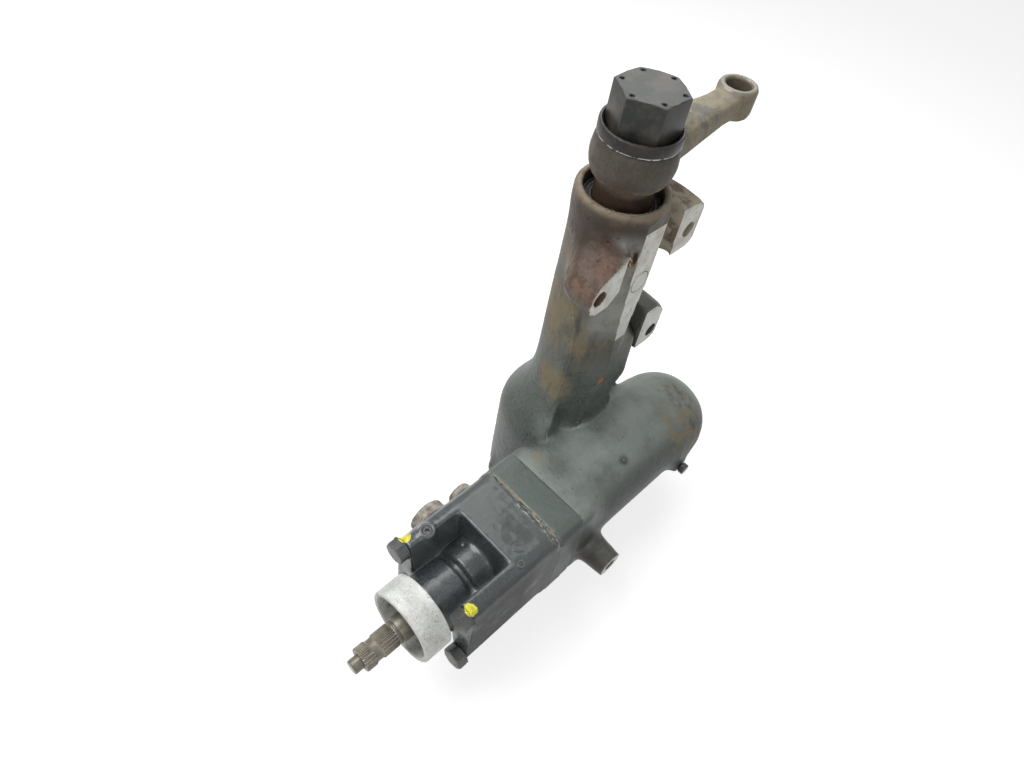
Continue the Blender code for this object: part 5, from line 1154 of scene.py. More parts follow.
# The finishes, each named for the piece that it is seen on

# The main casting's thin green-grey paint over a sand-cast skin, rusty round the mouth.
CASTING = Finish(
    "casting_paint", (65, 71, 67), (77, 83, 79), 0.44, mottle_scale=16, grain=300, depth=1.2, pits=0.9,
    specular=0.35,
    marks=(
        # Painted light: upward-facing surfaces low on the cylinder are lightened, where the tube shades them from the
        # key lamp.
        Mark((126, 133, 127), 0.85, 26, 0.3, 0.5, strength=0.8,
             area=Facing(2, 1.0, 0.25, 0.8) & Band(2, 130, 90) & Band(0, 22, 48)),
        # Painted shade: the cylinder's lower side that faces +X is darkened.
        Mark((48, 52, 49), 0.9, 26, 0.3, 0.5, strength=0.75,
             area=Facing(0, 1.0, 0.35, 0.85) & Band(2, 60, 30) & Band(0, 60, 100)),
        Mark((60, 55, 50), 0.98, 40, 0.2, 0.36, strength=0.85,
             area=Hoop(Axis.X, (0, -92, -28), 0, 58) & Band(0, 118, 132)),
        Mark((112, 102, 82), 0.45, 60, 0.16, 0.7, strength=0.6,
             area=Band(1, 84, 98) & Band(1, 134, 120) & Band(0, 60, 90)),
        Mark((52, 53, 48), 0.4, 85, 0.1, 0.6, strength=0.6,
             area=Band(1, 84, 98) & Band(1, 134, 120) & Band(0, 60, 90)),
        Mark((38, 40, 38), 0.9, 120, 0.1, 0.2, strength=0.85, area=Spot((117, -20, 52), 6, 4)),
        scratched(0.12, 190, relief=-0.1, area=Band(1, 80, 98) & Band(1, 134, 120)),
        Mark((96, 93, 82), 0.7, 26, 0.16, 0.55, strength=0.85, area=TUBE),
        Mark((60, 61, 56), 0.5, 21, 0.06, 0.5, strength=0.8, area=TUBE, stretch=(1, 1, 0.45)),
        Mark(TAN, 0.62, 42, 0.08, 0.75, strength=0.75, area=Spot((6, -46, 215), 52, 22), stretch=(1, 1, 0.3)),
        Mark(TAN, 0.7, 60, 0.08, 0.8, strength=0.8, area=Spot((6, -50, 118), 24, 12), stretch=(1, 1, 0.35)),
        Mark((102, 84, 68), 0.75, 34, 0.08, 0.62, strength=0.9, area=Band(2, 262, 322)),
        Mark((56, 52, 46), 0.55, 36, 0.06, 0.5, strength=0.85, area=Band(2, 285, 330)),
        Mark(DEEP_RUST, 0.68, 34, 0.07, 0.45, strength=0.98, area=Band(2, 300, 322) & Band(2, 362, 348)),
        Mark((108, 80, 66), 0.7, 60, 0.12, 0.7, strength=0.7, area=Spot((38, -64, 308), 26, 12)),
        Mark((62, 50, 42), 0.42, 110, 0.06, 0.6, strength=0.7, area=Spot((30, -60, 312), 34, 14)),
        # Tan film on the far lug, lightened as painted light because the lug lies in the tube's shadow.
        Mark((164, 154, 136), 0.9, 60, 0.14, 0.7, strength=0.85, area=Band(2, 262, 285) & Band(1, 31, 40)),
        Mark((76, 60, 48), 0.4, 90, 0.06, 0.6, strength=0.7, area=Band(2, 262, 285) & Band(1, 31, 40)),
        # Painted light: the tube's sides that face +X between z 225 and 330, shaded grooves among them, are lightened
        # to a pale grey.
        Mark((142, 144, 137), 0.8, 40, 0.2, 0.5, strength=0.8,
             area=Facing(0, 1.0, 0.35, 0.75) & Band(2, 190, 225) & Band(2, 352, 330)),
        Mark((112, 101, 82), 0.85, 50, 0.1, 0.5, strength=0.8, area=Band(2, 357, 362)),
        Mark(TAN, 0.5, 60, 0.07, 0.8, strength=0.75, area=Spot((133, 82, 44), 30, 12)),
        Mark(TAN, 0.35, 50, 0.07, 0.8, strength=0.6, area=Spot((107, 84, 62), 22, 10)),
        Mark((124, 116, 98), 0.6, 120, 0.1, 0.85, strength=0.8, area=Spot((53, -103, 63), 8, 5)),
        # Painted light: a lighter patch in the shaded notch where the tube's foot meets the drum and the cylinder.
        Mark((92, 100, 95), 0.98, 30, 0.2, 0.5, strength=0.9, area=Spot((33, -64, 58), 20, 10)),
        Mark(ORANGE, 0.75, 150, 0.06, 0.85, area=Spot((47, -7, 125), 4.5, 2.5)),
        Mark((96, 88, 70), 0.35, 30, 0.06, 0.8, strength=0.5, area=Crest(-1.0, 0.01, 0.06)),
        Mark((128, 133, 128), 0.55, 130, 0.08, 0.45, strength=0.5, area=Crest(1.0, 0.02, 0.08)),
        scratched(0.32, 170, metallic=0.8, relief=-0.1, area=Spot((116, -22, 54), 9, 5)),
        scratched(0.12, 140, metallic=0.8, relief=-0.1, area=Spot((130, 45, 46), 45, 16)),
        scratched(0.02, 150, roughness=0.4, metallic=0.6, area=Band(2, 200, 60)),
        # Painted shade: the groove round the disc on the mounting face is a dark line over a shallow dent.
        unbroken((30, 31, 29), 0.6,
                 Hoop(Axis.X, (0, 0, 279), 12.5, 0.9) & Facing(0, 1.0, 0.8, 0.9) & Band(0, 45, 46.5), relief=-0.35,
                 strength=0.85),
        unbroken((28, 25, 22), 0.6, Hoop(Axis.Z, SECTOR, 0, 81) & Band(2, 320, 330) & Facing(2, -1.0, -0.5, -0.2),
                 strength=0.95),
    ),
)
# The mounting faces: pale milled iron with a brown film in places.
MILLED = Finish(
    "milled_iron", (208, 210, 203), (196, 198, 191), 0.5, 0.0, 55, grain=1500, depth=0.04, pits=0.2, fleck=0.25,
    marks=(
        Mark((172, 164, 150), 0.4, 45, 0.14, 0.6, strength=0.5),
        Mark((166, 144, 128), 0.35, 70, 0.1, 0.7, strength=0.45, area=Band(2, 262, 300)),
        Mark((88, 84, 74), 0.9, 50, 0.1, 0.6, strength=0.85, area=Band(2, 348, 356) & Hoop(Axis.Z, SECTOR, 0, 108)),
        Mark((120, 119, 112), 0.12, 130, 0.04, 0.6, strength=0.6),
        # Painted shade: the disc's groove is a dark line over a shallow dent.
        unbroken((48, 48, 45), 0.6, Hoop(Axis.X, (0, 0, 279), 12.6, 1.0), relief=-0.3, strength=0.9),
        Mark((168, 173, 168), 0.7, 30, 0.1, 0.5, strength=0.7, area=Band(2, 250, 205) & Band(1, 40, 34)),
        scratched(0.1, 160, strength=0.6),
    ),
)
# The bearing block's smooth grey-green paint, with crust along its joints.
BLOCK = Finish(
    "block_paint", (68, 76, 72), (78, 86, 82), 0.46, mottle_scale=20, grain=420, depth=0.5, pits=0.5,
    marks=(
        # Painted light: the block's upward-facing faces are lighter.
        Mark((78, 87, 83), 0.6, 30, 0.2, 0.5, strength=0.7, area=Facing(2, 1.0, 0.5, 0.95)),
        # Painted shade: the block's side that faces +X is darkened.
        Mark((42, 46, 44), 0.85, 24, 0.2, 0.55, strength=0.8, area=Facing(0, 1.0, 0.5, 0.85)),
        Mark(CRUST, 0.5, 140, 0.06, 0.85, strength=0.75, relief=0.12,
             area=Band(1, -158.2, -160.6) & Facing(2, 1.0, 0.2, 0.6)),
        Mark(TAN, 0.42, 120, 0.06, 0.85, strength=0.7, area=Band(1, -126.5, -124.0) & Facing(2, 1.0, 0.2, 0.6)),
        Mark((34, 34, 31), 0.6, 90, 0.1, 0.7, strength=0.8, area=Band(1, -125.2, -123.8) & Facing(2, 1.0, 0.2, 0.6)),
        Mark((132, 139, 134), 0.6, 140, 0.08, 0.45, strength=0.55, area=Crest(1.0, 0.015, 0.06)),
        scratched(0.02, 200, roughness=0.4, metallic=0.6),
    ),
)
# The valve housing's glossy black paint, dulled to grey-green on its flat back.
VALVE = Finish(
    "valve_paint", (50, 55, 57), (62, 68, 70), 0.27, mottle_scale=26, spread=0.16, grain=300, depth=0.5, pits=0.5,
    coat=0.5, coat_roughness=0.14, coat_area=Facing(2, 1.0, -0.1, 0.35), specular=0.4,
    marks=(
        Mark((50, 59, 57), 0.97, 30, 0.2, 0.55, strength=0.95,
             area=Band(1, -222, -214) & Facing(2, 1.0, 0.75, 0.95) & Band(2, 58, 62)),
        # Painted shade: the housing's side that faces +X, beyond x 100 to 125, is darkened to near black.
        Mark((27, 28, 27), 0.97, 30, 0.2, 0.75, strength=0.95, area=Facing(0, 1.0, 0.5, 0.85) & Band(0, 100, 125)),
        # Painted light: pocket walls that face +X, below x 56 to 70, are lightened where they lie in shade.
        Mark((78, 84, 86), 0.8, 30, 0.2, 0.4, strength=0.8, area=Facing(0, 1.0, 0.5, 0.85) & Band(0, 72, 58)),
        # Painted light: the pocket floor's upward faces below z 46 are lightened, standing in for light and glossy
        # reflections there.
        Mark((92, 98, 100), 0.6, 60, 0.2, 0.35, strength=0.6,
             area=Facing(2, 1.0, 0.2, 0.7) & Band(2, 52, 46) & Band(0, 56, 48)),
        Mark((58, 62, 61), 0.75, 30, 0.16, 0.45, strength=0.6, area=Band(1, -214, -180)),
        Mark(CRUST, 0.5, 120, 0.06, 0.85, strength=0.85, relief=0.12,
             area=Band(1, -164.5, -162) & Facing(2, 1.0, 0.2, 0.6)),
        scratched(0.72, 130, metallic=0.5, strength=0.8, area=Spot((112, -166, 65), 34, 8) & Band(1, -172, -166)),
        Mark((84, 79, 68), 0.45, 60, 0.1, 0.75, strength=0.6,
             area=Facing(0, 1.0, 0.5, 0.8) & Band(1, -205, -165) & Band(2, 50, -20)),
        Mark((190, 191, 186), 0.75, 60, 0.06, 0.45, metallic=0.5, area=Spot((27, -286, 52), 13, 4)),
        scratched(0.05, 170, metallic=0.7),
        Mark((128, 132, 132), 0.5, 170, 0.06, 0.4, strength=0.5, area=Crest(1.0, 0.03, 0.1)),
    ),
)
# The port bosses' bare grey iron with rust.
PORT = Finish(
    "port_iron", (148, 143, 133), (128, 124, 114), 0.46, 0.2, 60, grain=900, depth=0.12, pits=0.6,
    marks=(
        Mark(RUST, 0.3, 90, 0.07, 0.75, strength=0.7),
        Mark((86, 82, 74), 0.3, 70, 0.06, 0.6, strength=0.7),
    ),
)
# The forged arm: sandy film over brown-grey scale, darker at the hub.
ARM = Finish(
    "forged_film", (108, 102, 89), (122, 115, 99), 0.55, 0.0, 42, grain=420, depth=0.5, pits=0.7, specular=0.35,
    marks=(
        Mark((130, 122, 101), 0.62, 60, 0.12, 0.72, strength=0.85, area=Band(1, 30, 58)),
        Mark((70, 72, 66), 0.4, 34, 0.07, 0.55, strength=0.8, area=Band(1, 36, 60) & Band(1, 150, 130)),
        Mark((104, 88, 70), 0.3, 52, 0.1, 0.7, strength=0.5),
        Mark((18, 16, 15), 0.98, 30, 0.2, 0.6, metallic=0.0, strength=0.97, area=HUB & Band(2, 380, 390)),
        Mark((66, 48, 38), 0.55, 40, 0.1, 0.58, strength=0.75, area=HUB & Band(2, 406, 388)),
        Mark((116, 112, 102), 0.9, 80, 0.1, 0.4, metallic=0.5, strength=0.9,
             area=Band(2, 412.6, 413.8) & Band(1, 120, 140)),
        Mark((40, 32, 27), 0.97, 60, 0.1, 0.6, strength=0.95,
             area=Hoop(Axis.Z, (-6.04, 172.9, 0), 0, 30.5) & Band(2, 413.2, 411.5)),
        scratched(0.06, 150, roughness=0.4, metallic=0.6),
    ),
)
# The big nut's dark satin oxide.
NUT = Finish(
    "nut_oxide", (36, 39, 37), (44, 47, 45), 0.42, 0.1, 28, spread=0.14, grain=1300, depth=0.03, pits=0.25,
    specular=0.3,
    marks=(
        # Painted light: the nut's top face is lighter.
        Mark((48, 52, 49), 0.9, 26, 0.2, 0.5, strength=0.8, area=Facing(2, 1.0, 0.7, 0.95)),
        Mark((92, 84, 76), 0.35, 34, 0.1, 0.5, strength=0.4),
        # Painted shade: the six punch marks are dark dots only, with no dents under them.
        *(unbroken((20, 21, 20), 0.7, Spot(nut_dot(k), 2.9, 0.6)) for k in range(6)),
        unbroken((132, 131, 126), 0.32, Edges(0.8, 0.45), metallic=0.8, strength=0.55),
    ),
)
# The lock ring's brown-grey oxide, bright where its lower edge is rubbed.
COLLAR = Finish(
    "ring_oxide", (33, 31, 29), (42, 39, 36), 0.42, 0.1, 44, grain=900, depth=0.08, pits=0.5, specular=0.3,
    marks=(
        Mark((72, 62, 54), 0.4, 40, 0.1, 0.55, strength=0.6),
        Mark(BARE, 0.62, 120, 0.05, 0.3, metallic=0.9, strength=0.9, area=Band(2, 421.6, 420.4) & Band(2, 418, 419)),
        unbroken(BARE, 0.3, Edges(0.9, 0.35), metallic=0.9, strength=0.7),
    ),
)
# Black oxide on the flange bolts.
BOLT = Finish(
    "bolt_oxide", (58, 61, 61), (76, 78, 77), 0.36, 0.2, 60, grain=1200, depth=0.04, pits=0.3,
    marks=(
        Mark((84, 76, 66), 0.3, 90, 0.06, 0.6, strength=0.6),
        unbroken((120, 120, 116), 0.35, Edges(0.6, 0.4), metallic=0.8, strength=0.6),
    ),
)
# The cup's cast aluminium: pale and matt, pitted, darker inside and at its rim.
CUP = Finish(
    "cup_aluminium", (214, 216, 211), (200, 202, 197), 0.55, 0.05, 40, grain=900, depth=0.12, pits=0.8,
    marks=(
        Mark((160, 162, 158), 0.4, 60, 0.16, 0.55, strength=0.35),
        Mark((70, 70, 67), 0.12, 620, 0.03, 0.7, relief=-0.2, strength=0.85),
        Mark((122, 118, 110), 0.6, 50, 0.1, 0.6, strength=0.6, area=CUP_INSIDE),
        Mark((96, 92, 84), 0.3, 90, 0.05, 0.7, strength=0.7, area=CUP_INSIDE),
        unbroken((160, 160, 154), 0.4, Edges(1.0, 0.5), strength=0.5),
        Mark((90, 90, 86), 0.12, 140, roughness=0.6, pattern=Pattern.SCRATCHES, strength=0.6),
    ),
)
# The input shaft's ground steel under a brown-grey film.
SHAFT = Finish(
    "shaft_steel", (120, 115, 103), (100, 95, 84), 0.36, 0.55, 70, grain=1500, depth=0.03, pits=0.2,
    marks=(
        Mark((104, 97, 84), 0.35, 60, 0.12, 0.5, strength=0.5),
        unbroken((176, 174, 166), 0.28, Edges(0.5, 0.6), metallic=0.95, strength=0.6),
        Mark((60, 54, 46), 0.15, 160, 0.06, 0.6, strength=0.5),
    ),
)
# The sector shaft's dark brown steel between the hub and the mouth.
NECK = Finish(
    "sector_steel", (62, 52, 44), (48, 42, 38), 0.38, 0.45, 60, grain=1300, depth=0.04, pits=0.3,
    marks=(
        Mark((92, 72, 56), 0.5, 60, 0.1, 0.5, strength=0.6),
        Mark((130, 122, 108), 0.2, 120, roughness=0.35, pattern=Pattern.SCRATCHES, strength=0.5),
    ),
)
# Black rubber with a dusty bloom.
RUBBER = Finish(
    "seal_rubber", (24, 24, 24), (32, 32, 31), 0.55, grain=1400, depth=0.05,
    marks=(
        Mark((70, 66, 60), 0.35, 80, 0.1, 0.85, strength=0.5),
    ),
)
# The grease nipple's tarnished brass.
BRASS = Finish(
    "tarnished_brass", (164, 128, 78), (140, 104, 66), 0.4, 0.6, 240, grain=1500, depth=0.05,
    marks=(
        Mark(RUST, 0.5, 300, 0.08, 0.7, strength=0.8),
        Mark((66, 54, 42), 0.35, 260, 0.06, 0.7, strength=0.8),
    ),
)
# The inspector's yellow paint, thick and uneven.
YELLOW = Finish(
    "yellow_paint", (220, 214, 44), (206, 196, 34), 0.42, mottle_scale=200, grain=900, depth=0.3, pits=0.6,
    marks=(
        Mark((168, 160, 30), 0.45, 260, 0.1, 0.5, strength=0.7),
        Mark((238, 240, 120), 0.3, 330, 0.06, 0.4, strength=0.6),
        Mark((70, 68, 30), 0.16, 420, 0.04, 0.7, strength=0.7),
    ),
)



# Pieces


@dataclass
class MainCasting:
    """The main casting: tube, drum, cylinder, lugs, with its milled faces."""

    mount_face: float = 48.0
    flange_face: float = -123.0
    mouth: float = 365.0
    drum_bottom: float = -94.0
    stub_end: float = 182.0
    holes: tuple[tuple[float, float], ...] = ((-66.0, 293.0), (65.0, 315.0), (69.0, 164.0))

    def rounds(self) -> tuple[Round, ...]:
        """The tube with its drum, and the cylinder, by their radii."""
        stations = [self.drum_bottom] + FLARE_HEIGHTS + [FLARE_TOP, 322, 336, 362.5, 365]
        radii = [DRUM_RADIUS] + FLARE_RADII + [TUBE_RADIUS, TUBE_RADIUS, 47.5, 47.5, 45.5]
        tube = Round(Axis.Z, SECTOR, tuple(stations), tuple(radii))
        barrel = Round(
            Axis.Y, WORM, (-115.0, 59.0, 75.0, 91.0), (62.0, 62.0, 66.5, 68.0)
        )
        mouth = Round(Axis.Z, SECTOR, (346.0, 363.5, 365.0), (39.5, 39.5, 41.0), inward=True)
        return tube, barrel, mouth

    def bores(self) -> tuple[Bore, ...]:
        """The bores whose walls stay crisp."""
        found = [
            Bore(Axis.Z, SECTOR, 42.6, 40.0, 366.0),
            Bore(Axis.Z, SECTOR, 60.0, -95.0, 45.0),
            Bore(Axis.Y, WORM, 51.5, -124.0, 145.0),
            Bore(Axis.X, (0, -92, -28), 10.0, 150.0, 183.0),
        ]
        found += [Bore(Axis.X, (0, y, z), 10.6, -40.0, 49.0) for y, z in self.holes]
        found.append(Bore(Axis.X, (0, -24.0, 317.0), 7.0, 20.0, 60.0))
        return tuple(found)

    def build(self, coat: Material, milled: Material) -> Piece:
        """Makes the casting and stands it for its CAD node.

        Args:
            coat: The paint on the cast skin.
            milled: The finish of the milled faces.

        Returns:
            The piece.
        """
        flats = (
            Flat(0, self.mount_face), Flat(1, self.flange_face, -1), Flat(2, self.drum_bottom, -1),
            Flat(0, self.stub_end), Flat(2, self.mouth, 1, 0.7),
        )
        skin = CastSkin(
            "main_housing", 2.0, 30, 7, 0.14, 3, self.rounds(), flats, self.bores(),
            (Shoulder(), ClosedEnd(), TubeRib()), 12.0, 260, ((262.0, 334.0, 70), (-74.0, 160.0, 12)),
        )
        piece = skin.build()
        centres, normals = face_places(piece)
        square = normals[:, 0] > 0.97
        dress(piece, Body.CASE, Slot.GREEN, coat, milled)
        level = square & (np.abs(centres[:, 0] - self.mount_face) < 0.9)
        milled = level & (centres[:, 2] > np.where(centres[:, 1] > 40, 130, 196))
        milled &= (centres[:, 2] < 347) | (np.abs(centres[:, 1]) > 30)
        assign(piece, milled, 1)
        assign(piece, square & (np.abs(centres[:, 0] - self.stub_end) < 0.9), 1)
        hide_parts("main_housing")
        return piece


@dataclass
class PartingLine:
    """The thin ridge that the mould's joint left down the tube, laid on the casting's skin."""

    width: float = 1.7
    height: float = 0.55
    rows: int = 220
    path: tuple[Place, ...] = (
        (-22, -40, 322), (-13, -44, 315), (-2, -47, 309), (4, -52, 300), (3, -58, 286), (0, -52, 268),
        (6, -46, 248), (11, -45, 224), (17, -43, 205), (18, -42, 190), (21, -44, 166), (21, -45, 140),
        (20, -45, 112), (19.5, -49, 92), (20, -55, 81), (19, -61, 69), (22, -66, 61), (31, -70, 58),
        (43, -77, 58), (62, -94, 64), (80, -108, 66),
    )

    def build(self, skin: Piece, coat: Material) -> Piece:
        """Draws the ridge as a strip along the path and wraps it onto the skin.

        The strip's section is a low arch: its height is the ridge's height times the cosine across it.

        Args:
            skin: The casting's piece.
            coat: Its paint.

        Returns:
            The piece.
        """
        nodes = np.array(self.path, float)
        gaps = np.linalg.norm(np.diff(nodes, axis=0), axis=1)
        along = np.concatenate([[0], np.cumsum(gaps)])
        place = np.linspace(0, along[-1], self.rows)
        line = np.stack([np.interp(place, along, nodes[:, k]) for k in range(3)], 1)
        kernel = np.ones(9) / 9
        smooth = np.stack([np.convolve(np.pad(line[:, k], 4, mode="edge"), kernel, "valid") for k in range(3)], 1)
        way = np.gradient(smooth, axis=0)
        way /= np.linalg.norm(way, axis=1, keepdims=True)
        outward = smooth * np.array([1.0, 1.0, 0.0])
        outward /= np.linalg.norm(outward, axis=1, keepdims=True)
        side = np.cross(way, outward)
        side /= np.linalg.norm(side, axis=1, keepdims=True)
        across = np.linspace(-1, 1, 7)
        swell = 1 + 0.25 * np.sin(place / 7.0) + 0.15 * np.sin(place / 2.3)
        offset = (self.width / 2) * across[None, :, None] * side[:, None, :] * swell[:, None, None]
        points = smooth[:, None, :] + offset
        faces = grid_faces(self.rows, 7, False)
        strip = mesh_object("parting_line", LAYOUT.place(points.reshape(-1, 3)), faces)
        wrap = strip.modifiers.new("wrap", "SHRINKWRAP")
        wrap.target = skin
        wrap.wrap_method = "NEAREST_SURFACEPOINT"
        bpy.context.view_layer.update()
        settle(strip)
        flat = np.zeros(len(strip.data.vertices) * 3)
        strip.data.vertices.foreach_get("co", flat)
        low = flat.reshape(self.rows, 7, 3)
        bpy.data.objects.remove(strip)
        base = LAYOUT.local(low.reshape(-1, 3)).reshape(self.rows, 7, 3)
        normal = np.cross(np.gradient(base, axis=0), np.gradient(base, axis=1))
        normal /= np.maximum(np.linalg.norm(normal, axis=2, keepdims=True), 1e-9)
        facing = np.sign((normal * outward[:, None, :]).sum(axis=2, keepdims=True))
        normal = normal * np.where(facing == 0, 1, facing)
        fade = np.clip(np.minimum(place, place[-1] - place) / 8.0, 0, 1)
        arch = np.cos(across * math.pi / 2)[None, :] * (self.height * fade * swell)[:, None] + 0.02
        top = base + normal * arch[:, :, None]
        under = base - normal * 0.5
        shell = np.concatenate([top, under[:, ::-1]], axis=1)
        caps = np.stack([shell.mean(axis=1)[:1], shell.mean(axis=1)[-1:]])
        body = np.concatenate([np.repeat(caps[0][:, None], 14, 1), shell, np.repeat(caps[1][:, None], 14, 1)])
        faces = grid_faces(self.rows + 2, 14)
        piece = mesh_object("parting_line", LAYOUT.place(body.reshape(-1, 3)), faces, 60)
        dress(piece, Body.CASE, Slot.GREEN, coat)
        return piece


@dataclass
class BearingBlock:
    """The square block between the main casting and the valve housing."""

    front: float = -160.9
    back: float = -123.3

    def build(self, coat: Material) -> Piece:
        """Makes the block and stands it for its CAD node."""
        flats = (Flat(1, self.front, -1), Flat(1, self.back, 1))
        bores = (Bore(Axis.Y, WORM, 49.5, -162.0, -110.0),)
        piece = CastSkin("bearing_block", 1.3, 10, 7, 0.1, 5, (), flats, bores).build()
        dress(piece, Body.CASE, Slot.GREEN, coat)
        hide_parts("bearing_block")
        return piece


@dataclass
class ValveHousing:
    """The black casting round the rotary valve."""

    back: float = -161.2
    front: float = -288.2
    nose: float = -299.2

    def build(self, coat: Material, iron: Material) -> Piece:
        """Makes the housing and stands it for its CAD node.

        Args:
            coat: The black paint.
            iron: The bare iron of the port bosses.

        Returns:
            The piece.
        """
        barrel = Round(
            Axis.Y, WORM, (-287.0, -259.4, -258.2, -251.3, -250.2, -220.0), (35.5, 35.5, 29.5, 29.5, 38.5, 38.5), 22
        )
        nose = Round(Axis.Y, WORM, (-299.2, -288.4), (36.0, 36.0))
        flats = (Flat(1, self.back, 1), Flat(1, self.nose, -1))
        bores = (Bore(Axis.Y, WORM, 28.5, -300.0, -161.0),)
        piece = CastSkin("valve_housing", 1.4, 70, 9, 0.1, 7, (barrel, nose), flats, bores).build()
        centres, normals = face_places(piece)
        dress(piece, Body.CASE, Slot.BLACK, coat, iron)
        assign(piece, (centres[:, 0] < 22.6) & (centres[:, 1] > -262) & (centres[:, 1] < -176), 1)
        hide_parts("valve_housing")
        return piece


@dataclass
class RingMark:
    """The plain raised ring on the valve housing's top."""

    centre: Place = (117.0, -202.0, 64.7)
    radius: float = 6.6
    wire: float = 0.55

    def build(self, coat: Material) -> Piece:
        """A thin torus, half sunk in the housing's top: a small circle carried round a large one."""
        turn = np.linspace(0, 2 * math.pi, 9)[:-1]
        profile = [(self.radius + self.wire * math.cos(a), self.wire * math.sin(a)) for a in turn]
        piece = turned("ring_mark", profile, Axis.Z, self.centre, 72)
        dress(piece, Body.CASE, Slot.BLACK, coat)
        return piece


@dataclass
class Arm:
    """The pitman arm with its hub and eye."""

    bottom: float = 380.0
    top: float = 419.0
    eye: tuple[float, float] = (-6.04, 172.9)
    flare: float = 2.2

    def widen(self, piece: Piece) -> None:
        """Widens the eye's mouth: points near the bore move outwards, less and less towards the rim."""
        points = read_points(piece)
        offset = points[:, :2] - np.array(self.eye)
        reach = np.maximum(np.hypot(offset[:, 0], offset[:, 1]), 1e-6)
        push = self.flare * smooth_step(reach, 19.0, 13.0) * smooth_step(points[:, 2], 392, 412) * (reach > 8)
        points[:, :2] += offset * (push / reach)[:, None]
        write_points(piece, points)

    def build(self, film: Material) -> Piece:
        """Makes the arm and stands it for its CAD node."""
        flats = (Flat(2, self.top, 1), Flat(2, self.bottom, -1))
        bores = (Bore(Axis.Z, SECTOR, 28.5, 379.0, 420.0),)
        piece = CastSkin("pitman_arm", 1.2, 22, 6, 0.1, 11, (), flats, bores).build()
        self.widen(piece)
        dress(piece, Body.SECTOR, Slot.FORGED, film)
        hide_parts("pitman_arm")
        return piece


@dataclass
class Cover:
    """The sector's round bottom cover."""

    face: float = -94.3

    def build(self, coat: Material) -> Piece:
        """Makes the cover and stands it for its CAD node."""
        flats = (Flat(2, self.face, 1), Flat(2, self.face - 14.0, -1))
        bores = (Bore(Axis.Z, SECTOR, 33.0, -95.0, -40.0),)
        piece = CastSkin("sector_cover", 1.5, 12, 6, 0.1, 13, (), flats, bores).build()
        dress(piece, Body.CASE, Slot.GREEN, coat)
        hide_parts("sector_cover")
        return piece


@dataclass
class LockRing:
    """The cupped ring under the big nut, its rim hammered into the nut's corners."""

    base: float = 419.3
    radius: float = 39.5
    height: float = 12.7
    floor: float = 3.7
    lip: float = 3.4
    bore: float = 19.8
    steps: int = 144

    def build(self, oxide: Material) -> Piece:
        """Turns the ring and ripples its rim: a sum of sines lowers the radius a little."""
        high = self.base + self.height
        inner = self.radius - self.lip
        profile = [
            (self.bore, self.base), (self.radius - 1.2, self.base), (self.radius - 0.3, self.base + 0.5),
            (self.radius, self.base + 1.2), (self.radius, high - 3.2), (self.radius - 0.25, high - 1.0),
            (self.radius - 0.9, high - 0.2), (self.radius - 1.6, high), (inner + 0.7, high - 0.1),
            (inner, high - 0.8), (inner, self.base + self.floor + 0.8), (inner - 0.8, self.base + self.floor),
            (self.bore, self.base + self.floor),
        ]
        angle = np.linspace(0, 2 * math.pi, self.steps, endpoint=False)
        wave = -0.18 * (1 + np.sin(angle * 5 + 1)) - 0.12 * (1 + np.sin(angle * 13)) - 0.1 * (1 + np.sin(angle * 29))
        share = np.array([0, 0.8, 0.7, 0.5, 0.3, 0.5, 0.8, 0.9, 0.3, 0, 0, 0, 0])[:, None]
        piece = turned("nut_lock_ring_piece", profile, Axis.Z, SECTOR, self.steps, share * wave[None, :])
        dress(piece, Body.SECTOR, Slot.OXIDE, oxide)
        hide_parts("nut_lock_ring")
        return piece


@dataclass
class Cup:
    """The aluminium cup round the input shaft."""

    base: float = -299.5
    length: float = 33.5
    radius: float = 44.6
    bore: float = 38.0
    floor: float = 4.0
    hole: float = 22.0
    steps: int = 144

    def build(self, metal: Material) -> Piece:
        """Turns the cup; small dents in its rim lower the radius by clipped sines."""
        mouth = self.base - self.length
        floor = self.base - self.floor
        profile = [
            (self.hole, self.base), (self.radius - 0.8, self.base), (self.radius, self.base - 0.8),
            (self.radius, mouth + 3.0), (self.radius - 0.4, mouth + 1.2), (self.radius - 1.3, mouth + 0.25),
            (self.radius - 2.2, mouth), (self.bore + 2.0, mouth + 0.1), (self.bore + 0.8, mouth + 0.9),
            (self.bore, mouth + 3.2), (self.bore, floor + -1.2), (self.bore - 1.2, floor), (self.hole, floor),
        ]
        angle = np.linspace(0, 2 * math.pi, self.steps, endpoint=False)
        dent = -np.clip(np.sin(angle * 7 + 0.6) * np.sin(angle * 3) - 0.55, 0, 1) * 0.9
        share = np.array([0, 0.1, 0.2, 0.2, 0.6, 1, 1, 0.3, 0.1, 0, 0, 0, 0])[:, None]
        piece = turned("input_cup_piece", profile, Axis.Y, WORM, self.steps, share * dent[None, :])
        dress(piece, Body.CASE, Slot.ALUMINIUM, metal)
        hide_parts("input_cup")
        return piece


